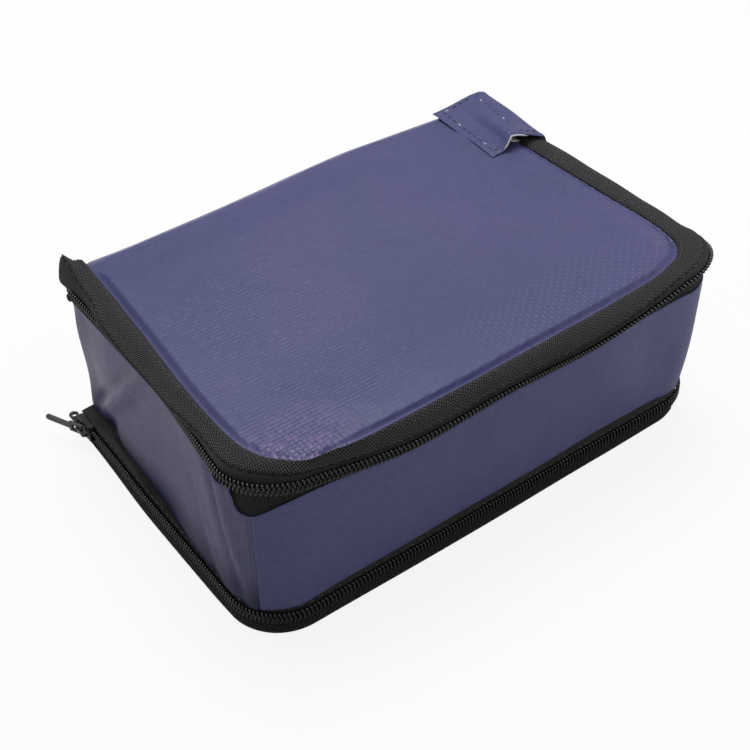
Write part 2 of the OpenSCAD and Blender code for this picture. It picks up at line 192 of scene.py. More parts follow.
# ------------------------------------------------------------------ mesh helpers
def new_mesh(name, V, F, uv=None, mat=None, body=None, slot=None, repl=(), sharp=50, fmat=None, smooth=True):
    me = bpy.data.meshes.new(name)
    V = np.asarray(V, float) * MM
    F = np.asarray(F)
    if F.dtype != object and F.ndim == 2:
        nf, k = F.shape
        me.vertices.add(len(V))
        me.vertices.foreach_set("co", V.astype(np.float32).ravel())
        me.loops.add(nf * k)
        me.loops.foreach_set("vertex_index", F.astype(np.int32).ravel())
        me.polygons.add(nf)
        me.polygons.foreach_set("loop_start", (np.arange(nf) * k).astype(np.int32))
        me.update(calc_edges=True)
        me.validate()
    else:
        me.from_pydata(V.tolist(), [], [list(f) for f in F])
    if uv is not None:
        lay = me.uv_layers.new(name="UVMap")
        idx = np.zeros(len(me.loops), np.int32)
        me.loops.foreach_get("vertex_index", idx)
        lay.data.foreach_set("uv", np.asarray(uv, np.float32)[idx].ravel())
    mats = mat if isinstance(mat, (list, tuple)) else [mat]
    for m in mats:
        if m is not None:
            me.materials.append(m)
    if fmat is not None and len(fmat) == len(me.polygons):
        me.polygons.foreach_set("material_index", np.asarray(fmat, np.int32))
    if smooth:
        me.polygons.foreach_set("use_smooth", np.ones(len(me.polygons), bool))
        if sharp:
            me.set_sharp_from_angle(angle=math.radians(sharp))
    me.update()
    o = bpy.data.objects.new(name, me)
    bpy.context.scene.collection.objects.link(o)
    if body:
        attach(o, body)
    if repl:
        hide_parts(*repl)
    return o


def grid_normals(P, closed_u=False):
    if closed_u:
        du = np.roll(P, -1, 0) - np.roll(P, 1, 0)
    else:
        du = np.gradient(P, axis=0)
    dv = np.gradient(P, axis=1)
    n = np.cross(du, dv)
    return n / np.maximum(np.linalg.norm(n, axis=-1, keepdims=True), 1e-9)


def sheet_arrays(P, uv, t, closed_u=False, flip=False, both=True):
    """A closed thin solid from a grid: P is its outer face, t its thickness (a number or a grid)."""
    nu, nv = P.shape[:2]
    N = grid_normals(P, closed_u)
    if flip:
        N = -N
    t = np.broadcast_to(np.asarray(t, float), (nu, nv))
    Q = P - N * t[..., None]
    V = np.concatenate([P.reshape(-1, 3), Q.reshape(-1, 3)])
    UV = np.concatenate([uv.reshape(-1, 2)] * 2)
    idx = np.arange(nu * nv).reshape(nu, nv)
    iu = np.arange(nu if closed_u else nu - 1)
    a = idx[iu][:, :-1]
    b = idx[(iu + 1) % nu][:, :-1]
    c = idx[(iu + 1) % nu][:, 1:]
    d = idx[iu][:, 1:]
    out = np.stack([a, b, c, d], -1).reshape(-1, 4)
    off = nu * nv
    inn = out[:, ::-1] + off
    rims = []

    def rim(e0, e1):
        rims.append(np.stack([e1, e0, e0 + off, e1 + off], -1))
    nxt = (iu + 1) % nu
    rim(idx[iu, 0], idx[nxt, 0])
    rim(idx[nxt, -1], idx[iu, -1])
    if not closed_u:
        rim(idx[0, 1:], idx[0, :-1])
        rim(idx[-1, :-1], idx[-1, 1:])
    rims = np.concatenate(rims)
    F = np.concatenate([out, inn, rims])
    if flip:
        F = F[:, ::-1]
    k = np.concatenate([np.zeros(len(out)), np.ones(len(inn)), np.zeros(len(rims))])
    return V, F, UV, k


def sheet(name, P, uv, t, mat, body=None, slot=None, repl=(), closed_u=False, flip=False, back=None, sharp=50):
    V, F, UV, k = sheet_arrays(P, uv, t, closed_u, flip)
    mats = [mat] if back is None else [mat, back]
    return new_mesh(name, V, F, UV, mats, body, slot, repl, sharp, None if back is None else k)


def tube_arrays(C, r, sides=7, cap=True, closed=False, up=None):
    """Tube round a polyline C[n,3] with radius r (number or array)."""
    C = np.asarray(C, float)
    n = len(C)
    T = (np.roll(C, -1, 0) - np.roll(C, 1, 0)) if closed else np.gradient(C, axis=0)
    T /= np.maximum(np.linalg.norm(T, axis=1, keepdims=True), 1e-9)
    ref = np.array([0, 0, 1.0]) if up is None else np.asarray(up, float)
    X = np.cross(np.broadcast_to(ref, T.shape), T)
    bad = np.linalg.norm(X, axis=1) < 1e-3
    X[bad] = np.cross(np.array([1.0, 0.2, 0]), T[bad])
    X /= np.linalg.norm(X, axis=1, keepdims=True)
    Y = np.cross(T, X)
    a = np.linspace(0, 2 * PI, sides, endpoint=False)
    r = np.broadcast_to(np.asarray(r, float), (n,))
    V = C[:, None] + r[:, None, None] * (np.cos(a)[None, :, None] * X[:, None] + np.sin(a)[None, :, None] * Y[:, None])
    idx = np.arange(n * sides).reshape(n, sides)
    i = np.arange(n if closed else n - 1)
    a_, b_ = idx[i], idx[(i + 1) % n]
    F = np.stack([a_, np.roll(a_, -1, 1), np.roll(b_, -1, 1), b_], -1).reshape(-1, 4)
    return V.reshape(-1, 3), F


class Batch:
    def __init__(self):
        self.V, self.F, self.UV, self.n = [], [], [], 0

    def add(self, V, F, UV=None):
        self.V.append(V)
        self.F.append(np.asarray(F) + self.n)
        self.UV.append(V[:, :2] if UV is None else UV)
        self.n += len(V)

    def make(self, name, **kw):
        return new_mesh(name, np.concatenate(self.V), np.concatenate(self.F), np.concatenate(self.UV), **kw)


def stitch_on(batch, P, N, T, length, r=0.2, sink=0.05, arch=0.16, sides=6):
    """One thread stitch lying on a surface at P with normal N along T: its ends dive into the cloth."""
    t = np.linspace(-1, 1, 9)
    h = arch * (1 - t ** 2) + sink - 0.75 * np.abs(t) ** 5
    C = P + np.outer(t * length / 2, T) + np.outer(h, N)
    rr = r * (1 - 0.35 * np.abs(t) ** 4)
    V, F = tube_arrays(C, rr, sides, up=N)
    # caps: fold the end rings to a point
    V[:sides] = C[0]
    V[-sides:] = C[-1]
    batch.add(V, F)


# ------------------------------------------------------------------ materials
class NB:
    def __init__(self, name):
        self.m = bpy.data.materials.new(name)
        self.m.use_nodes = True
        self.nt = self.m.node_tree
        self.bsdf = self.nt.nodes["Principled BSDF"]

    def n(self, kind, **kw):
        nd = self.nt.nodes.new(kind)
        for k, v in kw.items():
            if hasattr(nd, k):
                setattr(nd, k, v)
        return nd

    def put(self, sock, v):
        if isinstance(v, bpy.types.NodeSocket):
            self.nt.links.new(v, sock)
        else:
            sock.default_value = v

    def op(self, o, a, b=None, c=None, clamp=False):
        nd = self.nt.nodes.new("ShaderNodeMath")
        nd.operation = o
        nd.use_clamp = clamp
        for i, v in enumerate((a, b, c)):
            if v is not None:
                self.put(nd.inputs[i], v)
        return nd.outputs[0]

    def noise(self, vec, scale, detail=3, rough=0.5, dist=0.0):
        nd = self.nt.nodes.new("ShaderNodeTexNoise")
        if vec is not None:
            self.nt.links.new(vec, nd.inputs["Vector"])
        nd.inputs["Scale"].default_value = scale
        nd.inputs["Detail"].default_value = detail
        nd.inputs["Roughness"].default_value = rough
        nd.inputs["Distortion"].default_value = dist
        return nd.outputs["Fac"]

    def ramp(self, v, a, b, lo=0.0, hi=1.0):
        nd = self.nt.nodes.new("ShaderNodeMapRange")
        nd.interpolation_type = "SMOOTHSTEP"
        self.put(nd.inputs["Value"], v)
        nd.inputs["From Min"].default_value = a
        nd.inputs["From Max"].default_value = b
        nd.inputs["To Min"].default_value = lo
        nd.inputs["To Max"].default_value = hi
        return nd.outputs["Result"]

    def mix(self, f, c1, c2):
        nd = self.nt.nodes.new("ShaderNodeMix")
        nd.data_type = "RGBA"
        self.put(nd.inputs[0], f)
        for s_, v in ((nd.inputs[6], c1), (nd.inputs[7], c2)):
            if isinstance(v, bpy.types.NodeSocket):
                self.nt.links.new(v, s_)
            else:
                s_.default_value = (*v, 1.0)
        return nd.outputs[2]

    def bump(self, h, dist, strength=1.0, prev=None):
        nd = self.nt.nodes.new("ShaderNodeBump")
        nd.inputs["Distance"].default_value = dist
        nd.inputs["Strength"].default_value = strength
        self.put(nd.inputs["Height"], h)
        if prev is not None:
            self.nt.links.new(prev, nd.inputs["Normal"])
        return nd.outputs["Normal"]

    def uv(self):
        tc = self.nt.nodes.new("ShaderNodeTexCoord")
        sp = self.nt.nodes.new("ShaderNodeSeparateXYZ")
        self.nt.links.new(tc.outputs["UV"], sp.inputs[0])
        return tc.outputs["UV"], sp.outputs[0], sp.outputs[1]

    def obj(self):
        return self.nt.nodes.new("ShaderNodeTexCoord").outputs["Object"]

    def set(self, **kw):
        for k, v in kw.items():
            self.put(self.bsdf.inputs[k.replace("_", " ")], v)
        return self.m


def srgb(r, g, b):
    f = lambda c: c / 12.92 if c <= 0.04045 else ((c + 0.055) / 1.055) ** 2.4
    return tuple(f(v / 255) for v in (r, g, b))


def weave(nb, u, v, pu, pv):
    """Plain weave: returns (height, cell flag)."""
    fu = nb.op("FRACT", nb.op("DIVIDE", u, pu))
    fv = nb.op("FRACT", nb.op("DIVIDE", v, pv))
    ck = nb.op("MULTIPLY", nb.op("FRACT", nb.op("MULTIPLY", nb.op("ADD", nb.op("FLOOR", nb.op("DIVIDE", u, pu)), nb.op("FLOOR", nb.op("DIVIDE", v, pv))), 0.5)), 2.0)
    a = nb.op("POWER", nb.op("ABSOLUTE", nb.op("SUBTRACT", nb.op("MULTIPLY", fu, 2.0), 1.0)), 2.0)
    b = nb.op("POWER", nb.op("ABSOLUTE", nb.op("SUBTRACT", nb.op("MULTIPLY", fv, 2.0), 1.0)), 2.0)
    a4 = nb.op("MULTIPLY", nb.op("POWER", a, 2.0), 0.75)
    b4 = nb.op("MULTIPLY", nb.op("POWER", b, 2.0), 0.75)
    ha = nb.op("MULTIPLY", nb.op("SUBTRACT", 1.0, a), nb.op("SUBTRACT", 1.0, b4))
    hb = nb.op("MULTIPLY", nb.op("SUBTRACT", 1.0, b), nb.op("SUBTRACT", 1.0, a4))
    h = nb.op("ADD", nb.op("MULTIPLY", ha, ck), nb.op("MULTIPLY", hb, nb.op("SUBTRACT", 1.0, ck)))
    return h, ck


def uvv_v(nb):
    return nb.uv()[2]


CORNER_UV = (36.0, 51.0)


def coated(name, dash="lid", face_light_tint=(1, 1, 1), weave_amt=1.0, rough=0.46, cell=0.3, fold=None, foot_shade=None):
    """Coated woven cloth: flat 2 mm yarns in plain weave, mostly buried by the coating.
    dash "lid" puts its short floats along x on the left and along y at the front right, each with a painted highlight."""
    nb = NB(name)
    uvv, u, v = nb.uv()
    ob = nb.obj()
    pu, pv = 2.05, 1.8
    wob = nb.noise(ob, 35.0, 2)
    u = nb.op("ADD", u, nb.op("MULTIPLY", wob, 2.2))
    v = nb.op("ADD", v, nb.op("MULTIPLY", nb.noise(ob, 28.0, 2), 2.2))
    h, ck = weave(nb, u, v, pu, pv)
    cu, cv = nb.op("DIVIDE", u, pu), nb.op("DIVIDE", v, pv)
    fu, fv = nb.op("FRACT", cu), nb.op("FRACT", cv)
    wn = nb.n("ShaderNodeTexWhiteNoise")
    wn.noise_dimensions = "2D"
    cb = nb.n("ShaderNodeCombineXYZ")
    nb.put(cb.inputs[0], nb.op("FLOOR", cu))
    nb.put(cb.inputs[1], nb.op("FLOOR", cv))
    nb.nt.links.new(cb.outputs[0], wn.inputs["Vector"])
    rnd = wn.outputs["Value"]
    big = nb.noise(ob, 22.0, 3)
    patch = nb.ramp(big, 0.38, 0.62)
    # one float per cell: a thin raised line along the edge of the yarn that is on top
    lineu = nb.op("MULTIPLY", nb.ramp(nb.op("ABSOLUTE", nb.op("SUBTRACT", fv, 0.18)), 0.13, 0.03), nb.ramp(nb.op("ABSOLUTE", nb.op("SUBTRACT", fu, 0.5)), 0.48, 0.36))
    linev = nb.op("MULTIPLY", nb.ramp(nb.op("ABSOLUTE", nb.op("SUBTRACT", fu, 0.18)), 0.12, 0.03), nb.ramp(nb.op("ABSOLUTE", nb.op("SUBTRACT", fv, 0.5)), 0.48, 0.36))
    lineu = nb.op("MULTIPLY", lineu, ck)
    if dash == "lid":
        rv = nb.op("DIVIDE", v, 1.85)
        ru = nb.op("ADD", nb.op("DIVIDE", u, 3.2), nb.op("MULTIPLY", nb.op("FLOOR", rv), 0.37))
        w2 = nb.n("ShaderNodeTexWhiteNoise")
        w2.noise_dimensions = "2D"
        c2 = nb.n("ShaderNodeCombineXYZ")
        nb.put(c2.inputs[0], nb.op("FLOOR", ru))
        nb.put(c2.inputs[1], nb.op("FLOOR", rv))
        nb.nt.links.new(c2.outputs[0], w2.inputs["Vector"])
        lineu = nb.op("MULTIPLY", nb.ramp(nb.op("ABSOLUTE", nb.op("SUBTRACT", nb.op("FRACT", rv), 0.3)), 0.15, 0.03), nb.ramp(nb.op("ABSOLUTE", nb.op("SUBTRACT", nb.op("FRACT", ru), 0.5)), 0.47, 0.30))
        lineu = nb.op("MULTIPLY", lineu, nb.op("ADD", 0.16, nb.op("MULTIPLY", nb.op("POWER", w2.outputs["Value"], 3.0), 0.6)))
    linev = nb.op("MULTIPLY", linev, nb.op("SUBTRACT", 1.0, ck))
    if dash == "lid":
        wx = nb.op("MULTIPLY", nb.ramp(u, 120.0, 55.0), nb.ramp(v, 176.0, 130.0, 0.15, 1.0))
        wy = nb.op("MULTIPLY", nb.op("MULTIPLY", nb.ramp(u, 95.0, 140.0), nb.ramp(u, 218.0, 190.0, 0.3, 1.0)), nb.ramp(v, 90.0, 58.0, 0.03, 0.55))
        # where the panel is pulled tight over the front-left corner the whole weave shows, with a painted sheen on its
        # cells
        cx = nb.op("SUBTRACT", u, CORNER_UV[0])
        cy = nb.op("SUBTRACT", v, CORNER_UV[1])
        rr = nb.op("SQRT", nb.op("ADD", nb.op("MULTIPLY", cx, cx), nb.op("MULTIPLY", cy, cy)))
        full = nb.op("MULTIPLY", nb.ramp(nb.op("ADD", rr, nb.op("MULTIPLY", big, 14.0)), 34.0, 14.0), 0.85, None, True)
    else:
        wx = nb.op("MULTIPLY", patch, 0.30 * cell * 2)
        wy = nb.op("MULTIPLY", patch, 0.50 * cell * 2)
        full = cell
    dd = nb.op("ADD", nb.op("MULTIPLY", lineu, wx), nb.op("MULTIPLY", linev, wy), None, True)
    if dash == "lid":
        dd = nb.op("MULTIPLY", dd, nb.ramp(nb.op("ADD", big, nb.op("MULTIPLY", rnd, 0.12)), 0.25, 0.52, 0.6, 1.0))
    else:
        dd = nb.op("MULTIPLY", dd, nb.ramp(nb.op("ADD", rnd, nb.op("MULTIPLY", patch, 0.45)), 0.12, 0.85))
    # painted shade: the crease attribute marks the shaded crease beside the lid's step; it dims the floats there and
    # darkens the colour below
    crease_shade_attr = nb.n("ShaderNodeAttribute")
    crease_shade_attr.attribute_name = "crease"
    dd = nb.op("MULTIPLY", dd, nb.op("SUBTRACT", 1.0, crease_shade_attr.outputs["Fac"], None, True))
    # dark lines between the yarns
    eu = nb.ramp(nb.op("ABSOLUTE", nb.op("SUBTRACT", fu, 0.5)), 0.40, 0.50)
    ev = nb.ramp(nb.op("ABSOLUTE", nb.op("SUBTRACT", fv, 0.5)), 0.40, 0.50)
    gap = nb.op("MAXIMUM", eu, ev)
    cloud = nb.noise(ob, 9.0, 3)
    fine = nb.noise(ob, 1100.0, 2)
    mid = nb.noise(ob, 430.0, 3)
    # the tint scales every colour below, painting light and shade per face
    tt = lambda c: tuple(min(1.0, a * b) for a, b in zip(c, face_light_tint))
    base1, base2 = tt(srgb(74, 77, 115)), tt(srgb(82, 82, 122))
    light, dark, cell_sheen_pink = tt(srgb(136, 136, 178)), tt(srgb(42, 42, 84)), tt(srgb(124, 104, 150))
    col = nb.mix(nb.ramp(cloud, 0.3, 0.7), base1, base2)
    # painted highlight: random weave cells lift towards pale pink where the whole weave shows, standing in for each
    # cell's sheen
    cell_sheen_mask = nb.op("MULTIPLY", nb.op("MULTIPLY", nb.op("SUBTRACT", rnd, 0.1), 0.75), full, None, True)
    col = nb.mix(cell_sheen_mask, col, cell_sheen_pink)
    col = nb.mix(nb.op("MULTIPLY", nb.op("MULTIPLY", gap, 0.48), full, None, True), col, dark)
    # painted shade: deep navy where the crease attribute is high
    col = nb.mix(nb.op("MULTIPLY", crease_shade_attr.outputs["Fac"], 0.72, None, True), col, tt(srgb(36, 38, 98)))
    col = nb.mix(nb.op("MULTIPLY", nb.ramp(mid, 0.42, 0.68), 0.14), col, dark)
    # painted highlight: the floats are raised in the bump below, and their pale colour stands in for the sheen on them
    col = nb.mix(nb.op("MULTIPLY", dd, 0.75), col, light)
    if foot_shade:
        # painted shade: the wall tucks under just above the lower zip, and the shade under the tuck is painted into the
        # colour as a dark navy band
        sz = nb.n("ShaderNodeSeparateXYZ")
        nb.nt.links.new(ob, sz.inputs[0])
        zz = nb.op("ADD", nb.op("MULTIPLY", sz.outputs[2], 1000.0), nb.op("MULTIPLY", nb.noise(ob, 40.0, 2), 4.0))
        col = nb.mix(nb.ramp(zz, foot_shade[0], foot_shade[1], foot_shade[2], 0.0), col, srgb(15, 16, 60))
    if fold:
        # painted highlight and shade on a creased edge: a pale band painted along the top of the fold and painted shade
        # behind it
        jag = nb.op("ADD", uvv_v(nb), nb.op("MULTIPLY", nb.op("SUBTRACT", nb.noise(ob, 160.0, 2), 0.5), 0.5))
        pale = nb.ramp(nb.op("ABSOLUTE", nb.op("SUBTRACT", jag, fold[0])), fold[1], fold[1] * 0.4)
        shade = nb.ramp(nb.op("ABSOLUTE", nb.op("SUBTRACT", jag, fold[2])), fold[3], fold[3] * 0.4)
        col = nb.mix(nb.op("MULTIPLY", pale, 0.7), col, srgb(150, 150, 178))
        col = nb.mix(nb.op("MULTIPLY", shade, 0.8), col, srgb(20, 20, 40))
    r = nb.op("ADD", nb.op("MULTIPLY", nb.noise(ob, 60.0, 3), 0.18), rough - 0.09)
    r = nb.op("ADD", r, nb.op("MULTIPLY", full, -0.08))
    hh = nb.op("ADD", nb.op("MULTIPLY", h, nb.op("ADD", nb.op("MULTIPLY", full, 0.9), 0.16)), nb.op("MULTIPLY", dd, 0.9))
    hh = nb.op("ADD", hh, nb.op("MULTIPLY", nb.op("SUBTRACT", rnd, 0.5), nb.op("MULTIPLY", full, 0.35)))
    hh = nb.op("ADD", hh, nb.op("MULTIPLY", fine, 0.22))
    bn = nb.bump(hh, 0.00022 * weave_amt, 0.8)
    bn = nb.bump(nb.noise(ob, 75.0, 3), 0.0006, 0.5, bn)
    nb.set(Base_Color=col, Roughness=r, Normal=bn)
    nb.put(nb.bsdf.inputs["Specular IOR Level"], 0.27)
    return nb.m


def tape_mat(name, kind):
    """Woven zip tape: twill is the herringbone band, plain the smooth strip by the coil, rib the body tapes."""
    nb = NB(name)
    uvv, u, v = nb.uv()
    ob = nb.obj()
    if kind == "twill":
        tri = nb.op("PINGPONG", nb.op("ADD", v, 40.0), 3.3)
        ph = nb.op("DIVIDE", nb.op("ADD", u, nb.op("MULTIPLY", tri, 0.75)), 1.05)
        seg = nb.op("ADD", nb.op("DIVIDE", v, 0.9), nb.op("MULTIPLY", nb.op("FLOOR", ph), 0.5))
    elif kind == "plain":
        ph = nb.op("DIVIDE", nb.op("ADD", u, nb.op("MULTIPLY", v, 0.5)), 0.75)
        seg = nb.op("DIVIDE", v, 0.9)
    else:
        ph = nb.op("DIVIDE", u, 1.0)
        seg = nb.op("ADD", nb.op("DIVIDE", v, 0.8), nb.op("MULTIPLY", nb.op("FLOOR", ph), 0.5))
    rib = nb.op("SUBTRACT", 1.0, nb.op("POWER", nb.op("ABSOLUTE", nb.op("SUBTRACT", nb.op("MULTIPLY", nb.op("FRACT", ph), 2.0), 1.0)), 2.0))
    sg = nb.op("SUBTRACT", 1.0, nb.op("POWER", nb.op("ABSOLUTE", nb.op("SUBTRACT", nb.op("MULTIPLY", nb.op("FRACT", seg), 2.0), 1.0)), 2.0))
    h = nb.op("MULTIPLY", rib, nb.op("ADD", 0.42 if kind != "plain" else 0.7, nb.op("MULTIPLY", sg, 0.58 if kind != "plain" else 0.3)))
    wear = nb.ramp(nb.noise(ob, 34.0, 3), 0.45, 0.72)
    fuzz = nb.noise(ob, 2600.0, 2)
    lo = {"twill": srgb(7, 7, 8), "plain": srgb(13, 13, 13), "rib": srgb(8, 8, 8)}[kind]
    hi = {"twill": srgb(92, 92, 96), "plain": srgb(52, 51, 52), "rib": srgb(52, 52, 52)}[kind]
    k = nb.op("MULTIPLY", nb.op("POWER", h, {"rib": 2.6, "twill": 2.6, "plain": 1.6}[kind]), nb.op("ADD", 0.6, nb.op("MULTIPLY", fuzz, 0.6)), None, True)
    col = nb.mix(k, lo, hi)
    col = nb.mix(nb.op("MULTIPLY", wear, 0.08), col, srgb(52, 51, 52))
    bn = nb.bump(h, 0.00055 if kind != "plain" else 0.00016, 1.0)
    bn = nb.bump(fuzz, 0.00008, 0.6, bn)
    nb.set(Base_Color=col, Roughness=nb.op("ADD", 0.74 if kind != "plain" else 0.6, nb.op("MULTIPLY", fuzz, 0.15)), Normal=bn)
    nb.put(nb.bsdf.inputs["Sheen Weight"], 0.04)
    nb.put(nb.bsdf.inputs["Sheen Roughness"], 0.5)
    nb.put(nb.bsdf.inputs["Specular IOR Level"], 0.18)
    return nb.m


def coil_mat():
    nb = NB("zip_coil_nylon")
    ob = nb.obj()
    n1 = nb.noise(ob, 420.0, 3)
    col = nb.mix(nb.ramp(n1, 0.35, 0.7), srgb(4, 4, 5), srgb(15, 15, 16))
    # painted highlight: a light grey glint painted along the upper side of each turn, where the normal faces a fixed
    # direction
    geo = nb.n("ShaderNodeNewGeometry")
    dt = nb.n("ShaderNodeVectorMath")
    dt.operation = "DOT_PRODUCT"
    nb.nt.links.new(geo.outputs["Normal"], dt.inputs[0])
    dt.inputs[1].default_value = (-0.36, -0.36, 0.86)
    coil_glint_paint = nb.op("POWER", nb.op("MAXIMUM", dt.outputs["Value"], 0.0), 20.0)
    col = nb.mix(nb.op("MULTIPLY", coil_glint_paint, 0.5), col, srgb(190, 190, 192))
    nb.set(Base_Color=col, Roughness=nb.op("ADD", 0.10, nb.op("MULTIPLY", n1, 0.12)), Normal=nb.bump(n1, 0.00003, 0.5))
    nb.put(nb.bsdf.inputs["Specular IOR Level"], 0.34)
    nb.put(nb.bsdf.inputs["Coat Weight"], 0.25)
    nb.put(nb.bsdf.inputs["Coat Roughness"], 0.03)
    return nb.m


def thread_mat(name, c1, c2):
    nb = NB(name)
    ob = nb.obj()
    w = nb.n("ShaderNodeTexWave")
    w.wave_type = "BANDS"
    w.bands_direction = "DIAGONAL"
    w.inputs["Scale"].default_value = 900.0
    w.inputs["Distortion"].default_value = 1.0
    nb.nt.links.new(ob, w.inputs["Vector"])
    f = w.outputs["Fac"]
    nb.set(Base_Color=nb.mix(f, c1, c2), Roughness=0.55, Normal=nb.bump(f, 0.00006, 0.8))
    nb.put(nb.bsdf.inputs["Sheen Weight"], 0.3)
    return nb.m


def cloth_mat(name, c1, c2, pitch=0.7, rough=0.6, sheen=0.3, quilt=False, bumpd=0.00012):
    nb = NB(name)
    uvv, u, v = nb.uv()
    ob = nb.obj()
    h, ck = weave(nb, u, v, pitch, pitch)
    cloud = nb.noise(ob, 22.0, 3)
    slub = nb.noise(ob, 700.0, 2)
    k = nb.op("MULTIPLY", h, nb.op("ADD", 0.6, nb.op("MULTIPLY", slub, 0.5)), None, True)
    col = nb.mix(k, c1, c2)
    col = nb.mix(nb.op("MULTIPLY", nb.ramp(cloud, 0.45, 0.75), 0.22), col, tuple(x * 0.72 for x in c1))
    bn = nb.bump(h, bumpd, 0.8)
    bn = nb.bump(nb.noise(ob, 90.0, 3), 0.0005, 0.4, bn)
    nb.set(Base_Color=col, Roughness=nb.op("ADD", rough, nb.op("MULTIPLY", slub, 0.15)), Normal=bn)
    nb.put(nb.bsdf.inputs["Sheen Weight"], sheen)
    return nb.m


def metal_mat(name, dark, light, rough):
    """Painted die-cast metal: dark enamel, brighter where edges have rubbed."""
    nb = NB(name)
    ob = nb.obj()
    geo = nb.n("ShaderNodeNewGeometry")
    n1 = nb.noise(ob, 330.0, 4)
    n2 = nb.noise(ob, 1500.0, 2)
    edge = nb.ramp(geo.outputs["Pointiness"], 0.56, 0.66, 0.0, 0.5)
    wear = nb.op("MULTIPLY", edge, nb.ramp(n1, 0.45, 0.7), None, True)
    col = nb.mix(nb.ramp(n1, 0.3, 0.75), dark, tuple(x * 1.7 for x in dark))
    col = nb.mix(wear, col, light)
    nb.set(Base_Color=col, Metallic=nb.op("ADD", 0.06, nb.op("MULTIPLY", wear, 0.6)), Roughness=nb.op("ADD", rough, nb.op("MULTIPLY", n2, 0.2)),
           Normal=nb.bump(n2, 0.00002, 0.6))
    return nb.m


# These coated materials are one fabric; their tints paint light and shade per face: the lid and the tab darkened, the
# side walls warmed for their grey sheen. The side walls' last argument paints shade along their foot.
M_TOP = coated("coated_lid", "lid", (0.86, 0.86, 0.87))
M_TOPV = coated("coated_front", "wall", (1.0, 1.03, 1.03), 0.45, 0.52, 0.06)
M_WALL = coated("coated_side", "wall", (1.02, 0.96, 0.86), 0.8, 0.42, 0.30, None, (19.0, 37.0, 0.92))
M_BACK = coated("coated_back", "wall", (1, 1, 1), 0.7, 0.46, 0.2)
M_FOLD = coated("coated_fold", "wall", (1, 1, 1), 0.7, 0.46, 0.2, (1.25, 0.30, 2.0, 0.30))
M_TAB = coated("coated_tab", "wall", (0.86, 0.87, 0.92), 0.6, 0.44, 0.10)
M_TW = tape_mat("tape_twill", "twill")
M_TP = tape_mat("tape_plain", "plain")
M_TR = tape_mat("tape_rib", "rib")
M_COIL = coil_mat()
M_TB = thread_mat("thread_dark", srgb(16, 16, 18), srgb(46, 46, 50))
M_TN = thread_mat("thread_navy", srgb(10, 10, 20), srgb(32, 32, 54))
M_TWH = thread_mat("thread_pale", srgb(196, 196, 196), srgb(236, 236, 234))
M_LIN = cloth_mat("lining_glass_cloth", srgb(176, 178, 178), srgb(214, 215, 212), 0.8, 0.5, 0.3)
M_MID = cloth_mat("floor_cover_cloth", srgb(96, 99, 104), srgb(140, 142, 146), 0.9, 0.5, 0.25)
M_PAD = cloth_mat("barrier_felt", srgb(206, 204, 196), srgb(232, 230, 222), 1.4, 0.8, 0.5)
M_REV = cloth_mat("fabric_reverse", srgb(206, 208, 208), srgb(238, 239, 238), 1.1, 0.5, 0.1)
M_MET = metal_mat("slider_enamel", srgb(11, 11, 12), srgb(130, 131, 131), 0.16)
M_PUL = metal_mat("puller_enamel", srgb(52, 53, 53), srgb(120, 121, 121), 0.34)

# ------------------------------------------------------------------ walls
S_BL, S_BR = A_ + 14.2, A_ + C_ + B_ + C_ - 11.5      # seams near the two front corners
rng = np.random.RandomState(7)
WAVES = [(rng.uniform(0.02, 0.07), rng.uniform(0.03, 0.09), rng.uniform(0, 6.28), rng.uniform(0.12, 0.26)) for _ in range(7)]


def wall_out(s, z):
    """Belly, creases and the fold by each front corner, in mm outwards."""
    tz = np.clip((z - 16) / 56, 0, 1)
    o = 0.9 * np.sin(PI * tz) * sstep(150, 190, s) * sstep(352, 320, s)
    # left side: caved in low down, most at the back corner
    o = o - 2.6 * gauss(s, 66, 30) * gauss(tz, 0.38, 0.34) * sstep(128, 100, s)
    o = o - (1.9 * sstep(80, 66, z) + 2.5 * sstep(62, 24, z)) * sstep(34, 8, s) - 2.2 * sstep(6, 22, s) * sstep(92, 62, s) * sstep(34, 13, z)
    # a crease runs up and forward from the back bottom corner, with a ridge below it
    cr = (z - 30) - (s - 12) * 0.98
    o = o - 1.5 * gauss(cr, 0, 3.2) * sstep(2, 12, s) * sstep(58, 34, s) + 1.7 * gauss(cr, -8, 4.6) * sstep(4, 16, s) * sstep(64, 40, s)
    o = o - 0.8 * gauss(cr, -17, 4.5) * sstep(10, 22, s) * sstep(70, 44, s)
    # valley and ridge left of the front-left seam
    sv = 112.0 + (73.5 - z) * 0.33
    o = o - 2.5 * gauss(s, sv, 4.2) * sstep(-0.05, 0.14, tz + 0.05)
    sr = 123.5 + (73.2 - z) * 0.16
    o = o + 1.8 * gauss(s, sr, 4.0)
    sd = 100 + (60 - z) * 0.5
    o = o + 1.0 * gauss(s, sd - 4, 4.0) * gauss(tz, 0.4, 0.45) - 0.9 * gauss(s, sd - 13, 5.0) * gauss(tz, 0.3, 0.4)
    # front-right corner: soft vertical swell and the hollow beside it
    o = o + 1.2 * gauss(s, 338, 8) * np.sin(PI * tz) - 1.1 * gauss(s, 318 - (z - 45) * 0.25, 9) * gauss(tz, 0.62, 0.4)
    o = o + 0.6 * gauss(s, 300 - (z - 45) * 0.5, 12) * gauss(tz, 0.4, 0.35)
    # right side: slack middle
    o = o - 2.2 * gauss(s, 425, 36) * np.sin(PI * tz)
    for a, b, c, d in WAVES:
        o = o + d * 0.8 * np.sin(a * s + b * z + c) * np.sin(PI * np.clip(tz, 0.05, 0.95))
    # tuck in at the lower edge where the zip pulls the cloth back
    zb = pchip(WB[0], WB[1], s)
    return o - 0.5 * np.exp(-np.clip(z - zb, 0, 40) / 2.6)


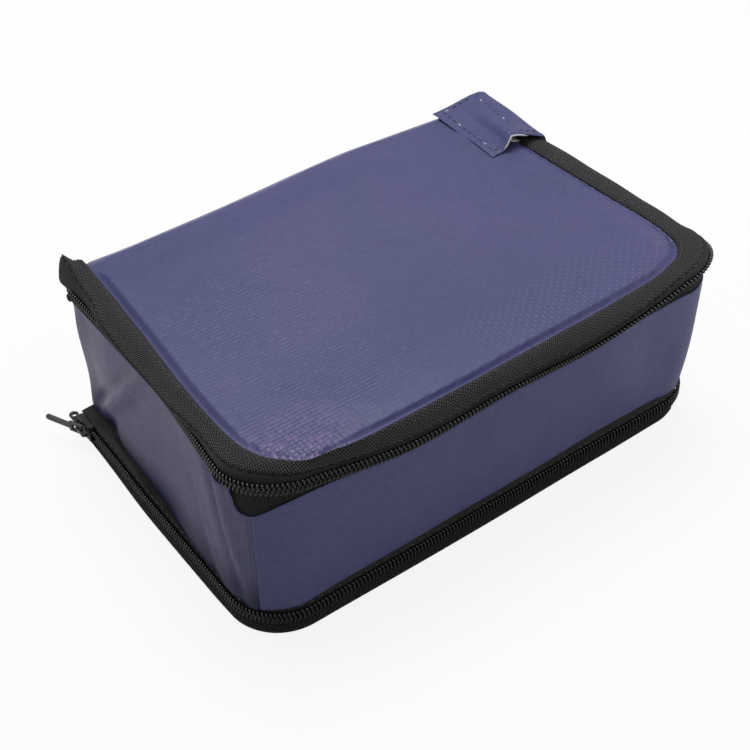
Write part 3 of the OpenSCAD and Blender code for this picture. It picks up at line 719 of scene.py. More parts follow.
def wall_grid(s0, s1, ds=1.5, nz=44, d=0.0, z0=None, z1=None, grow=0.0):
    s = np.linspace(s0, s1, max(4, int(abs(s1 - s0) / ds) + 1))
    zb = pchip(WB[0], WB[1], s) if z0 is None else np.full_like(s, z0)
    zt = (upper(s)[0][:, 2] - pchip(WD[0], WD[1], s)) if z1 is None else np.full_like(s, z1)
    k = np.linspace(0, 1, nz)
    k = k + 0.045 * np.sin(2 * PI * k) * -1
    Z = zb[:, None] + (zt - zb)[:, None] * k[None]
    Sg = np.broadcast_to(s[:, None], Z.shape)
    P = side(Sg, Z, wall_out(Sg, Z) - d)
    uv = np.stack([Sg, Z], -1)
    return s, Sg, Z, P, uv, k


def back_wrap(P, Sg, d=0.0):
    """Past the back corners the side panels turn into the back plane."""
    r = 2.6
    over = np.clip(-(Sg - 0.6), 0, None)
    over2 = np.clip(Sg - (L_ - 0.6), 0, None)
    Q = P.copy()
    for ov, sx in ((over, 1), (over2, -1)):
        m = ov > 0
        if not m.any():
            continue
        th = np.clip(ov / r, 0, PI / 2)
        rest = np.clip(ov - r * PI / 2, 0, None)
        yb = 71 - 0.6 + 0.0
        nx = r * (1 - np.cos(th)) + rest
        ny = r * np.sin(th)
        Q[..., 0] = np.where(m, P[..., 0] + sx * nx, Q[..., 0])
        Q[..., 1] = np.where(m, yb + ny, Q[..., 1])
    return Q


def wall(name, s0, s1, mat, cad, hem0=True, hem1=True, ds=1.5):
    s, Sg, Z, P, uv, k = wall_grid(s0, s1, ds)
    # rolled hems: the outer face turns in at the edges
    edge = np.minimum.reduce([(Z - Z[:, :1]), (Z[:, -1:] - Z)])
    if hem0:
        edge = np.minimum(edge, Sg - s0)
    if hem1:
        edge = np.minimum(edge, s1 - Sg)
    turn = 0.32 * (1 - np.clip(edge / 0.6, 0, 1)) ** 2
    hemmark = 0.12 * gauss(np.minimum(Z[:, -1:] - Z, Z - Z[:, :1]), 2.2, 0.5)
    N = base(Sg)[1]
    P = P.copy()
    P[..., :2] -= N * (turn + hemmark)[..., None]
    P = back_wrap(P, Sg)
    return sheet(name, P, uv, 0.75, mat, "bag_body", "coated_fabric", (cad,), back=M_REV)


wall("left_wall_panel", -5.0, S_BL, M_WALL, "left_wall_outer", False, True)
wall("front_wall_panel", S_BL + 0.12, S_BR - 0.12, M_TOPV, "front_wall_outer", True, True)
wall("right_wall_panel", S_BR, L_ + 5.0, M_WALL, "right_wall_outer", True, False)


# ------------------------------------------------------------------ lid
def lid_boundary():
    """Closed outline of the lid panel, inside the tape, then back along the hinge."""
    s = np.concatenate([np.arange(0, 118, 1.6), np.arange(118, 172, 0.9), np.arange(172, 318, 1.6), np.arange(318, 372, 0.9), np.arange(372, 488, 1.6)])
    I, N = tape_inner(s)
    I = I.copy()
    I[:, 1] = np.minimum(I[:, 1], 70.6)
    xr = I[-1, 0]
    xl = I[0, 0]
    x = np.linspace(xr, xl, 126)[1:-1]
    bk = np.stack([x, np.full_like(x, 70.6), lid_z(x, np.full_like(x, 70.6))], -1)
    return np.concatenate([I, bk]), len(I)


LB, N_FRONT = lid_boundary()
RINGS = np.array([-0.3, -0.1, 0.15, 0.4, 0.65, 0.9, 1.15, 1.4, 1.65, 1.9, 2.15, 2.45, 2.8, 3.2, 3.7, 4.3, 4.9, 5.6, 6.4, 7.6, 9, 11, 13.5, 16.5, 20, 24, 28.5, 33.5, 39, 45, 51, 57, 62])
WV = [(rng.uniform(-0.09, 0.09), rng.uniform(-0.11, 0.11), rng.uniform(0, 6.28)) for _ in range(9)]
# How strongly the flat ledge beside the tape shows, round the path: plain on the left, gone at the front-left corner
LEDGE = ([0, 15, 40, 98, 114, 126, 150, 166, 185, 250, 310, 330, 345, 365, 390, 430, 489],
         [0.6, 0.9, 1.0, 1.0, 0.75, 0.3, 0.1, 0.3, 0.65, 0.85, 0.7, 0.5, 0.55, 0.7, 0.8, 0.7, 0.5])
LS = np.concatenate([np.arange(0, 118, 1.6), np.arange(118, 172, 0.9), np.arange(172, 318, 1.6), np.arange(318, 372, 0.9), np.arange(372, 488, 1.6)])
LST = np.concatenate([pchip(LEDGE[0], LEDGE[1], LS), np.full(len(LB) - len(LS), 0.5)])
LSS = np.concatenate([LS, np.full(len(LB) - len(LS), 0.0)])


def lid_relief(x, y, d, back, st=0.6, sp=0.0):
    """Crowned middle of the lid; beside the tape a flat ledge and a step up to it. back is 1 along the hinge."""
    c = 1 - back
    step = 1.55 * sstep(1.2, 3.2, d) - 0.25 * gauss(d, 1.0, 0.45) + 0.15 * sstep(2.4, 5, d)
    puff = 1.45 * (1 - (1 - np.clip(d / 7.5, 0, 1)) ** 2.2)
    z = (st * step + (1 - st) * puff + 0.35 * sstep(5, 24, d)) * (1 - 0.85 * back * sstep(20, 6, d))
    # small gathers where the tape's stitching pulls on the ledge
    z = z + 0.13 * (np.sin(sp * 1.37 + 0.8 * np.sin(sp * 0.31)) + 0.6 * np.sin(sp * 0.83 + 2)) * gauss(d, 0.5, 0.6) * c * st
    z = z + 0.12 * (np.sin(sp * 0.9) + np.sin(sp * 0.47 + 1)) * gauss(d, 2.6, 1.2) * c
    for a, b, p in WV:
        z = z + 0.13 * np.sin(a * x + b * y + p) * sstep(3, 14, d)
    # soft folds that run in from the front corners and a long shallow dish in the middle
    r1 = ((x + 70) * 0.62 + (y + 52) * 0.78)
    q1 = ((x + 70) * -0.78 + (y + 52) * 0.62)
    z = z + 0.45 * gauss(r1, 2, 7) * sstep(34, 0, np.abs(q1)) * sstep(2, 8, d)
    r2 = ((x - 72) * -0.5 + (y + 44) * 0.86)
    z = z - 0.40 * gauss(r2, 0, 6) * sstep(40, 4, np.abs(x - 72)) * sstep(2, 9, d)
    z = z - 0.7 * gauss(x, -5, 60) * gauss(y, -8, 34)
    # creases where the corners of the panel are gathered under the tape
    for cx, cy, ux, uy, ln in ((96, -60, -0.9, 0.43, 15), (95, -63, -0.97, 0.2, 11), (97, -56, -0.75, 0.66, 12), (-97, -62, 0.75, 0.66, 9), (-93, 66, 0.45, -0.9, 26)):
        al = (x - cx) * ux + (y - cy) * uy
        ac = -(x - cx) * uy + (y - cy) * ux
        z = z - 0.42 * gauss(ac, 0, 0.9) * sstep(-2, 2, al) * sstep(ln, ln * 0.4, al)
        z = z + 0.26 * gauss(ac, 2.2, 1.3) * sstep(-2, 2, al) * sstep(ln, ln * 0.4, al)
    return z


def lid_surface(thick_off=0.0):
    n = len(LB)
    cxy = np.stack([np.round(np.clip(LB[:, 0] * 0.42, -40, 40) / 2.0) * 2.0, 0 * LB[:, 1] + 4], -1)
    vec = cxy - LB[:, :2]
    ln = np.linalg.norm(vec, axis=1)
    nrm = vec / ln[:, None]
    back = sstep(60, 70.5, LB[:, 1])
    g = np.zeros((n, len(RINGS) + 1, 3))
    # perpendicular distance grows more slowly than the ray length where the ray is oblique
    tang = np.roll(LB[:, :2], -1, 0) - np.roll(LB[:, :2], 1, 0)
    tang /= np.linalg.norm(tang, axis=1, keepdims=True)
    inn = np.stack([-tang[:, 1], tang[:, 0]], -1)
    cosv = np.clip((inn * nrm).sum(1), 0.45, 1)
    k = np.ones(9) / 9
    cosv = np.convolve(np.concatenate([cosv[-4:], cosv, cosv[:4]]), k, "valid")
    for j, d in enumerate(np.append(RINGS, 1e9)):
        f = np.minimum(np.full(n, d) / cosv, ln * (0.02 + 0.98 * min(1, (j + 1) / (len(RINGS) + 1))) if d > 40 else ln * 0.985)
        if d < 0:
            f = np.where(back > 0.5, 0.0, f)
        if j == len(RINGS):
            f = ln
        xy = LB[:, :2] + nrm * f[:, None]
        dd = np.minimum(d, 62) if d < 1e8 else 62
        zb = lid_z(xy[:, 0], xy[:, 1])
        if j == len(RINGS):
            xy = cxy
        z = zb + lid_relief(xy[:, 0], xy[:, 1], np.full(n, float(dd)), back, LST, LSS)
        if d < 0:
            z = zb - np.where(back > 0.5, 0, 0.2 - 1.5 * d)
        g[:, j, :2] = xy
        g[:, j, 2] = z
    return g


def disc(name, g, uv, t, mats, body, slot, repl, flip=False, sharp=50):
    """A closed panel whose last ring lies on a centre line at 2 mm steps: both sides are welded there."""
    V, F, UV, k = sheet_arrays(g, uv, t, closed_u=True, flip=flip)
    nu, nv = g.shape[:2]
    last = np.arange(nu) * nv + nv - 1
    repv = np.arange(len(V))
    isl = np.zeros(len(V), bool)
    for off in (0, nu * nv):
        first = {}
        for i, key in zip(last + off, np.round(g[:, -1, 0] / 2.0).astype(int)):
            repv[i] = first.setdefault(int(key), int(i))
        isl[last + off] = True
    faces, kk = [], []
    for f, m in zip(F.tolist(), k.tolist()):
        if isl[f].all():
            continue
        q = []
        for v in f:
            r = int(repv[v])
            if r not in q:
                q.append(r)
        if len(q) > 2:
            faces.append(q)
            kk.append(m)
    used = np.unique(np.concatenate([np.array(f) for f in faces]))
    remap = np.full(len(V), -1)
    remap[used] = np.arange(len(used))
    faces = [[int(remap[v]) for v in f] for f in faces]
    me_f = np.empty(len(faces), dtype=object)
    me_f[:] = faces
    return new_mesh(name, V[used], me_f, UV[used], mats, body, slot, repl, sharp, kk)


LG = lid_surface()
LUV = LG[..., :2] + 120
LO = disc("lid_panel", LG, LUV, 0.7, [M_TOP, M_REV], "top_lid", "coated_fabric", ("lid_outer",))
# painted shade in the crease at the bottom of the step: a per-point value the material reads to darken the colour there
cr_d = np.append(RINGS, 62.0)[None] * np.ones((len(LB), 1))
crease_shade_v = (0.15 + 0.85 * LST)[:, None] * gauss(cr_d, 2.2, 0.95) * (1 - sstep(60, 70.5, LB[:, 1]))[:, None]
crease_shade_tab = {}
for kk_, vv_ in zip(np.round(LG.reshape(-1, 3)[:, :2], 3).tolist(), crease_shade_v.ravel().tolist()):
    crease_shade_tab[tuple(kk_)] = vv_
at_ = LO.data.attributes.new("crease", "FLOAT", "POINT")
at_.data.foreach_set("value", [crease_shade_tab.get((round(v_.co.x * 1000, 3), round(v_.co.y * 1000, 3)), 0.0) for v_ in LO.data.vertices])


def lid_top(x, y):
    """Height of the lid's upper face under a point away from its edges."""
    return lid_z(x, y) + 1.65 - 0.7 * gauss(x, -5, 60) * gauss(y, -8, 34)


# Padding and lining under the lid, one slab each: the pad crowned, the lining quilted
def slab_piece(name, inset, zt, zb, mat, body, slot, cad, crown=0.0, quilt=0.0, zfun=None, n_r=16, plan_fun=None, pm=None, flip_crown=False):
    """A panel that follows the bag's outline at depth inset, with its own top and bottom heights."""
    s = np.concatenate([np.arange(2, 118, 3.0), np.arange(118, 168, 2.0), np.arange(168, 316, 3.0), np.arange(316, 368, 2.0), np.arange(368, 488, 3.0)])
    Bp = plan_fun(s)
    Bp = Bp[Bp[:, 1] < 72 - inset]
    yb = 73.4 - max(inset, 0.6)
    xs = np.linspace(Bp[-1, 0], Bp[0, 0], 64)
    bk = np.stack([xs, np.full_like(xs, yb)], -1)
    Bd = np.concatenate([Bp, bk])
    n = len(Bd)
    c = np.stack([np.clip(Bd[:, 0] * 0.4, -38, 38), np.full(n, 2.0)], -1)
    fr = np.array([0, 0.008, 0.02, 0.04, 0.07, 0.11, 0.16, 0.23, 0.31, 0.4, 0.5, 0.6, 0.7, 0.8, 0.9, 1.0])
    top = np.zeros((n, len(fr), 3))
    bot = np.zeros((n, len(fr), 3))
    mid = (zt + zb) / 2
    for j, f in enumerate(fr):
        xy = Bd + (c - Bd) * f
        e = min(1, f / 0.04)
        rr = math.sqrt(max(0, 1 - (1 - e) ** 2))
        dz = zfun(xy[:, 0], xy[:, 1]) if zfun else 0
        q = quilt * (np.abs(np.sin((xy[:, 0] + xy[:, 1]) * PI / 34)) ** 0.45 * np.abs(np.sin((xy[:, 0] - xy[:, 1]) * PI / 34)) ** 0.45 - 0.75) if quilt else 0
        top[:, j, :2] = xy
        bot[:, j, :2] = xy
        top[:, j, 2] = mid + (zt - mid) * (0.35 + 0.65 * rr) + dz + (crown * min(1, f * 2) + q * min(1, f / 0.05) if zt > zb and not flip_crown else 0)
        bot[:, j, 2] = mid + (zb - mid) * (0.35 + 0.65 * rr) + dz + ((-crown * min(1, f * 2) - q * min(1, f / 0.05)) if flip_crown else 0)
    P = np.concatenate([top[:, ::-1], bot], 1)
    nn, m = P.shape[:2]
    V = P.reshape(-1, 3)
    idx = np.arange(nn * m).reshape(nn, m)
    i = np.arange(nn)
    a, b = idx[i], idx[(i + 1) % nn]
    F = np.stack([a[:, :-1], a[:, 1:], b[:, 1:], b[:, :-1]], -1).reshape(-1, 4)
    uv = V[:, :2] + 120
    return new_mesh(name, V, F, uv, mat, body, slot, (cad,) if isinstance(cad, str) else cad, sharp=60)


def plan_at(z, inset):
    def f(s):
        zz_ = np.full_like(s, float(z))
        P = side(s, zz_, np.minimum(wall_out(s, zz_), 0.4) * 0.85 - float(inset))
        return P[:, :2]
    return f


def lid_rise(x, y):
    return lid_z(x, y) - 84.2


def plan_lid(inset):
    """Outline for what lies under the lid: just inside the shoulder of the tape."""
    def f(s):
        u, N = upper(s)
        return u[:, :2] - N * inset
    return f


slab_piece("lid_pad", 3.6, 82.9, 80.0, M_PAD, "top_lid", "barrier_pad", "lid_padding", crown=0.4, zfun=lid_rise, plan_fun=plan_lid(4.6))
slab_piece("lid_inner_lining", 3.4, 79.9, 79.3, M_LIN, "top_lid", "lining_cloth", "lid_lining", quilt=0.5, zfun=lid_rise, plan_fun=plan_lid(4.0), flip_crown=True)


# ------------------------------------------------------------------ lid tape
def tape_section(s, n=80):
    """Curves from the tape's inner edge on the lid, over the shoulder, to the coil."""
    I, N = tape_inner(s)
    U, _ = upper(s)
    E = U.copy()
    tl = tilt_of(s)
    E[:, :2] += N * (-0.9 * np.cos(tl) + 1.3 * np.sin(tl))[:, None]
    E[:, 2] += 0.35 + 0.9 * np.sin(tl)
    P0 = I.copy()
    P0[:, 2] += 0.75
    roll = pchip(ROLL[0], ROLL[1], s)
    rz = pchip(ROLLZ[0], ROLLZ[1], s)
    P1 = I + (E - I) * 0.62
    P1[:, 2] = P0[:, 2] + 0.9
    P2 = E.copy()
    P2[:, :2] += N * (0.9 + roll)[:, None]
    P2[:, 2] = E[:, 2] + (P0[:, 2] - E[:, 2]) * rz
    t = np.linspace(0, 1, n)[None, :, None]
    C = P0[:, None] * (1 - t) ** 3 + 3 * P1[:, None] * t * (1 - t) ** 2 + 3 * P2[:, None] * t * t * (1 - t) + E[:, None] * t ** 3
    return C, N


def resample(C, q):
    """C[n,m,3] curves resampled at arc lengths q[n,k], measured back from their ends."""
    seg = np.linalg.norm(np.diff(C, axis=1), axis=2)
    cum = np.concatenate([np.zeros((len(C), 1)), np.cumsum(seg[:, ::-1], 1)], 1)
    D = C[:, ::-1]
    out = np.zeros(q.shape + (3,))
    for i in range(len(C)):
        for k in range(3):
            out[i, :, k] = np.interp(q[i], cum[i], D[i, :, k])
    return out, cum[:, -1]


S_T = np.concatenate([np.arange(-4.5, 0, 0.75), np.arange(0, L_ + 2.5, 1.0)])
CT, NT = tape_section(S_T)
GROOVE = ([-5, 0, 40, 100, 125, 140, 160, 185, 300, 330, 365, 489], [6.3, 6.3, 6.0, 5.2, 5.6, 6.0, 4.6, 3.5, 3.2, 3.6, 4.0, 4.0])
GQ = pchip(GROOVE[0], GROOVE[1], S_T)     # stitch groove, measured from the coil
_, TL = resample(CT, np.zeros((len(CT), 1)))
rows = []
start = np.where(S_T > L_ - 12.0, sstep(L_ - 12.0, L_ - 9.5, S_T) * 3.6, 0.0)   # stops above the parked slider
for k in (0, 0.15, 0.3, 0.45, 0.6, 0.75, 0.88):
    rows.append(start + (GQ - start) * k)
for k in (-0.35, -0.15, 0.0, 0.15, 0.4):
    rows.append(GQ + k)
for k in np.linspace(0.06, 1, 18):
    rows.append(GQ + 0.4 + (TL - GQ - 0.4) * k)
QT = np.stack(rows, 1)
PT, _ = resample(CT, QT)
NN = grid_normals(PT)
sgn = np.sign((NN * np.concatenate([NT, np.ones((len(NT), 1)) * 0.6], 1)[:, None]).sum(-1).mean())
NN = NN * sgn
gr = 0.75 * gauss(QT, GQ[:, None], 0.36) - 0.22 * gauss(QT, GQ[:, None] + 1.3, 0.7)
edge = TL[:, None] - QT
selv = 0.28 * gauss(edge, 0.0, 0.5)
wob = 0.10 * np.sin(S_T * 0.21 + 1.0)[:, None] * np.sin(QT * 0.5) + 0.12 * np.sin(S_T * 0.063)[:, None]
PT = PT - NN * (gr + selv)[..., None] + NN * (wob * sstep(0, 3, QT))[..., None]
# the raw back-left end stands up and curls outwards; the other end does so a little
fl = sstep(15, -4.5, S_T)[:, None] ** 1.6 * (gauss(QT, GQ[:, None] + 0.2, 3.0) + 0.12 * sstep(TL[:, None], 8, QT))
PT[..., 2] += 5.2 * fl
PT[..., 1] += 1.6 * fl
PT[..., 0] -= 1.2 * sstep(9, -4.5, S_T)[:, None] * sstep(6.5, 1.5, QT)
fray = 0.5 * np.sin(QT * 3.3) * np.sin(QT * 1.27 + 1)
PT[..., 1] += fray * (S_T < -3.9)[:, None]
UVT = np.stack([np.broadcast_to(S_T[:, None], QT.shape), QT], -1)
Vt, Ft, UVt, kt = sheet_arrays(PT, UVT, 0.55, flip=sgn < 0)
fm = []
nr = QT.shape[1] - 1
band = np.where(np.arange(nr) < 9, 1, 0)
nq = (len(S_T) - 1) * nr
fm = np.concatenate([np.tile(band, len(S_T) - 1), np.tile(band, len(S_T) - 1), np.zeros(len(Ft) - 2 * nq)])
new_mesh("lid_tape_band", Vt, Ft, UVt, [M_TW, M_TP], "top_lid", "zip_tape", ("lid_zip_tape",), 60, fm)

# stitches sunk in the groove and a second row beside the inner edge
NTg = grid_normals(PT) * sgn
bt = Batch()
j0 = 9
for i in range(6, len(S_T) - 6, 4):
    T = PT[i + 1, j0] - PT[i - 1, j0]
    T /= np.linalg.norm(T)
    stitch_on(bt, PT[i, j0], NTg[i, j0 + 3], T, 2.9, 0.2, 0.02, 0.16)
jr = QT.shape[1] - 4
for i in range(8, len(S_T) - 4, 4):
    T = PT[i + 1, jr] - PT[i - 1, jr]
    T /= np.linalg.norm(T)
    stitch_on(bt, PT[i, jr], NTg[i, jr], T, 2.7, 0.14, -0.02, 0.10)
bt.make("lid_seam_stitches", mat=M_TB, body="top_lid", slot="thread_black", repl=("lid_stitching",), sharp=None)


# ------------------------------------------------------------------ coils
def coil(name, s0, s1, line, sgnz, phase, body, cad, pitch=1.6):
    turns = (s1 - s0) / pitch
    m = 14
    n = int(turns * m) + 1
    s = np.linspace(s0, s1, n)
    th = 2 * PI * (s - s0) / pitch + phase
    P, N = line(s)
    # flattened loops: tall along z, thin along the wall's normal, square shouldered
    cz, cn = np.cos(th), np.sin(th)
    zz = sgnz * (1.24 + 1.04 * np.sign(cz) * np.abs(cz) ** 0.7)
    nn = 0.30 + 0.46 * np.sign(cn) * np.abs(cn) ** 0.8
    C = P.copy()
    tl = tilt_of(s) if line is upper else 0.0 * s
    C[:, :2] += N * (nn * np.cos(tl) + zz * np.sin(tl))[:, None]
    C[:, 2] += zz * np.cos(tl) - nn * np.sin(tl)
    V, F = tube_arrays(C, 0.39, 8)
    return new_mesh(name, V, F, np.stack([V[:, 0], V[:, 1]], -1), M_COIL, body, "zip_coil", (cad,), None)


coil("upper_coil_lid_half", 3.6, L_ - 10.6, upper, 1, 0.0, "top_lid", "lid_zip_coil")
coil("upper_coil_body_half", 3.6, L_, upper, -1, PI, "bag_body", "upper_zip_body_coil")
coil("lower_coil_body_half", 0.2, L_, lower, 1, 0.0, "bag_body", "lower_zip_body_coil")
coil("lower_coil_base_half", 10.8, L_, lower, -1, PI, "base_flap", "base_zip_coil")


# core cords that the coils are sewn round: a helper that nothing calls, so no cords are built
def cord(name_batch, line, s0, s1, dz, r=0.42):
    s = np.arange(s0, s1, 2.0)
    P, N = line(s)
    C = P.copy()
    C[:, :2] += N * 0.42
    C[:, 2] += dz
    V, F = tube_arrays(C, r, 8)
    name_batch.add(V, F)


# ------------------------------------------------------------------ body tapes
def side_rows(name, s, rows_fn, t, mats, body, slot, repl, fmat_rows=None, sharp=60):
    """Grid from (z, out) rows as functions of s on the side band."""
    Z, O = rows_fn(s)
    Sg = np.broadcast_to(s[:, None], Z.shape)
    P = side(Sg, Z, O)
    P = back_wrap_tape(P, Sg)
    seg = np.concatenate([np.zeros((len(s), 1)), np.cumsum(np.linalg.norm(np.diff(P, axis=1), axis=2), 1)], 1)
    uv = np.stack([Sg, seg], -1)
    V, F, UV, k = sheet_arrays(P, uv, t)
    nr = Z.shape[1] - 1
    nq = (len(s) - 1) * nr
    fm = None
    if fmat_rows is not None:
        fm = np.concatenate([np.tile(fmat_rows, len(s) - 1), np.tile(fmat_rows, len(s) - 1), np.zeros(len(F) - 2 * nq)])
    return new_mesh(name, V, F, UV, mats, body, slot, repl, sharp, fm), P


def back_wrap_tape(P, Sg):
    return P


def upper_tape_rows(s):
    uz = upper(s)[0][:, 2]
    wt = uz - pchip(WD[0], WD[1], s)
    k = np.linspace(0, 1, 15)
    top = uz - 0.45
    low = wt - 4.0
    Z = low[:, None] + (top - low)[:, None] * k[None]
    O = np.zeros_like(Z) - 0.85 + wall_out(np.broadcast_to(s[:, None], Z.shape), Z) * 0.9 * sstep(0, 6, (uz[:, None] - 3.2) - Z)
    O = O - 0.25 * gauss(Z, (uz - 3.3)[:, None], 0.4)
    return Z, O


S_B = np.arange(-2.6, L_ + 2.7, 1.3)
side_rows("upper_tape_body_side", S_B, upper_tape_rows, 0.5, [M_TR], "bag_body", "zip_tape", ("upper_zip_body_tape",))


def lower_tape_rows(s):
    lz = lower(s)[0][:, 2]
    wb = pchip(WB[0], WB[1], s)
    top = wb + 3.5
    k = np.linspace(0, 1, 18)
    z0 = lz + 0.45
    Z = z0[:, None] + (top - z0)[:, None] * k[None]
    # smooth band above the coil that folds inwards under the wall's hem
    hgt = Z - (lz + 3.0)[:, None]
    O = -0.85 - 0.9 * sstep(0, 5, hgt) + 0.55 * gauss(hgt, 1.6, 1.1)
    O = O - 0.35 * gauss(hgt, 0.2, 0.35)
    O = np.minimum(O, np.where(Z > wb[:, None] - 0.2, wall_out(np.broadcast_to(s[:, None], Z.shape), Z) - 1.1, 9))
    return Z, O


side_rows("lower_tape_body_side", S_B, lower_tape_rows, 0.5, [M_TP], "bag_body", "zip_tape", ("lower_zip_body_tape",))

FLARE = ([0, 60, 110, 135, 160, 240, 300, 345, 400, 489], [0.8, 1.9, 1.7, 0.9, 0.6, 1.0, 0.9, 0.0, 0.4, 0.4])


def floor_pt(s):
    P, N = lower(s)
    return P, N, pchip(FLARE[0], FLARE[1], s)


# base tape: from the coil down to the floor and a little way underneath
S_F = np.arange(-2.6, L_ + 2.7, 1.3)
lp, ln_ = lower(S_F)
fl_ = pchip(FLARE[0], FLARE[1], S_F)
cut = sstep(10.6, 8.4, S_F) * 3.9           # stops below the parked slider
zz = [0.45, 1.2, 2.2, 3.0, 3.5, 4.1, 4.9, 5.7, 6.5, 7.2, 7.8, 8.3]
pts = []
for k, dz in enumerate(zz):
    hh = np.clip((lp[:, 2] - 0.35 - np.maximum(dz, cut)), 0.25, None)
    fr_ = (dz - 0.45) / 7.85
    o = -0.85 + fl_ * fr_ ** 0.8 + 0.35 * math.sin(PI * fr_) - 0.35 * math.exp(-(((dz - 3.3) / 0.4) ** 2))
    q = lp.copy()
    q[:, :2] += ln_ * o[:, None]
    q[:, 2] = hh
    pts.append(q)
for inn_, hz in ((1.2, 0.06), (3.0, 0.10), (5.0, 0.16), (7.4, 0.25)):
    q = lp.copy()
    q[:, :2] += ln_ * (fl_ - 0.85 - inn_)[:, None]
    q[:, 2] = hz
    pts.append(q)
PF = np.stack(pts, 1)
segf = np.concatenate([np.zeros((len(S_F), 1)), np.cumsum(np.linalg.norm(np.diff(PF, axis=1), axis=2), 1)], 1)
UVF = np.stack([np.broadcast_to(S_F[:, None], segf.shape), segf], -1)
PF = PF[:, ::-1]
UVF = UVF[:, ::-1]
sheet("base_tape_band", PF, UVF, 0.5, M_TR, "base_flap", "zip_tape", ("base_zip_tape",), sharp=60)

bb = Batch()
for i in range(6, len(S_F) - 4, 3):
    j = PF.shape[1] - 1 - 9
    T = PF[i + 1, j] - PF[i - 1, j]
    T /= np.linalg.norm(T)
    nrm = np.array([ln_[i, 0], ln_[i, 1], 0])
    stitch_on(bb, PF[i, j], nrm, T, 2.7, 0.17, 0.02, 0.14)
bb.make("base_tape_stitches", mat=M_TB, body="base_flap", slot="thread_black", repl=("base_stitching",), sharp=None)

bl = Batch()
for s_ in np.arange(8, L_ - 4, 4.0):
    s1 = np.array([s_ - 0.5, s_, s_ + 0.5])
    lz = lower(s1)[0][:, 2] + 4.4
    P = side(s1, lz, np.full(3, -0.40))
    T = P[2] - P[0]
    T /= np.linalg.norm(T)
    N1 = base(s1)[1][1]
    stitch_on(bl, P[1], np.array([N1[0], N1[1], 0]), T, 2.8, 0.17, -0.03, 0.12)
bl.make("lower_tape_stitches", mat=M_TB, body="bag_body", slot="thread_black", repl=("lower_tape_stitching",), sharp=None)

# vertical corner seams: tight little stitches on both edges of the butt
bs = Batch()
for sc, sg in ((S_BL, -1), (S_BR, 1)):
    for z in np.arange(18, 60, 1.9):
        for off in (-1.35, 1.75):
            s1 = np.array([sc + off])
            z1 = np.array([z])
            ztop = float(upper(s1)[0][0, 2] - pchip(WD[0], WD[1], s1)[0])
            if z > ztop - 1:
                continue
            P = side(s1, z1, wall_out(s1, z1) + 0.02)[0]
            Pu = side(s1, z1 + 1, wall_out(s1, z1 + 1) + 0.02)[0]
            T = (Pu - P) / np.linalg.norm(Pu - P)
            N1 = base(s1)[1][0]
            stitch_on(bs, P, np.array([N1[0], N1[1], 0]), T, 1.35, 0.10, -0.02, 0.06)
bs.make("corner_seam_stitches", mat=M_TN, body="bag_body", slot="thread_black", repl=("wall_seam_stitching",), sharp=None)


# ------------------------------------------------------------------ zip end stops
def end_stops(name, line, cad):
    b = Batch()
    for s_, sx in ((2.6 if cad.startswith("upper") else -1.6, -1), (L_ + 1.2, 1)):
        P, N = line(np.array([s_]))
        dz = -1.7 if cad.startswith("upper") else 1.7
        c = P[0] + np.array([N[0, 0] * 0.35, 0, dz])
        # crimped staple: a rounded bar with two folded legs
        n = 13
        a = np.linspace(-1, 1, n)
        for dy in (-0.62, 0.62):
            C = np.stack([c[0] + sx * 0.62 * np.sqrt(np.clip(1 - a ** 4, 0, 1)) - 0.0, np.full(n, c[1] + dy), c[2] + a * 1.25], -1)
            V, F = tube_arrays(C, 0.52, 10)
            V[:10] = C[0]
            V[-10:] = C[-1]
            b.add(V, F)
    b.make(name, mat=M_MET, body="bag_body", slot="zip_stop", repl=(cad,), sharp=None)


end_stops("upper_end_stops", upper, "upper_zip_end_stops")
end_stops("lower_end_stops", lower, "lower_zip_end_stops")


# ------------------------------------------------------------------ pads and lining behind the walls
def pad_piece(name, s0, s1, d0, d1, z0, z1, mat, slot, cad, nz=26, ds=2.5, puff=0.5, quilt=0.0):
    s = np.linspace(s0, s1, max(4, int((s1 - s0) / ds) + 1))
    k = np.linspace(0, 1, nz)
    zt = np.minimum(z1, upper(s)[0][:, 2] - 5.0)
    Z = z0 + (zt - z0)[:, None] * k[None]
    Sg = np.broadcast_to(s[:, None], Z.shape)
    e = np.minimum.reduce([Z - Z[:, :1], Z[:, -1:] - Z, Sg - s0, s1 - Sg])
    rr = np.sqrt(np.clip(1 - (1 - np.clip(e / 1.6, 0, 1)) ** 2, 0, 1))
    q = quilt * (np.abs(np.sin((Sg + Z) * PI / 30)) ** 0.5 * np.abs(np.sin((Sg - Z) * PI / 30)) ** 0.5 - 0.7) * np.clip(e / 6, 0, 1)
    W = wall_out(Sg, Z)
    W = np.minimum(W, 0.4) * 0.85
    mid = (d0 + d1) / 2
    half = (d1 - d0) / 2
    Po = side(Sg, Z, W - (mid - half * (0.3 + 0.7 * rr)))
    Pi = side(Sg, Z, W - (mid + half * (0.3 + 0.7 * rr)) - q - puff * np.clip(e / 12, 0, 1))
    V = np.concatenate([Po.reshape(-1, 3), Pi.reshape(-1, 3)])
    nu, nv = Z.shape
    idx = np.arange(nu * nv).reshape(nu, nv)
    a, b, c, d = idx[:-1, :-1], idx[1:, :-1], idx[1:, 1:], idx[:-1, 1:]
    out = np.stack([a, b, c, d], -1).reshape(-1, 4)
    off = nu * nv
    F = [out, out[:, ::-1] + off]
    for e0, e1 in ((idx[:-1, 0], idx[1:, 0]), (idx[1:, -1], idx[:-1, -1]), (idx[0, 1:], idx[0, :-1]), (idx[-1, :-1], idx[-1, 1:])):
        F.append(np.stack([e1, e0, e0 + off, e1 + off], -1))
    uv = np.stack([Sg, Z], -1).reshape(-1, 2)
    return new_mesh(name, V, np.concatenate(F), np.concatenate([uv, uv]), mat, "bag_body", slot, (cad,), 60)


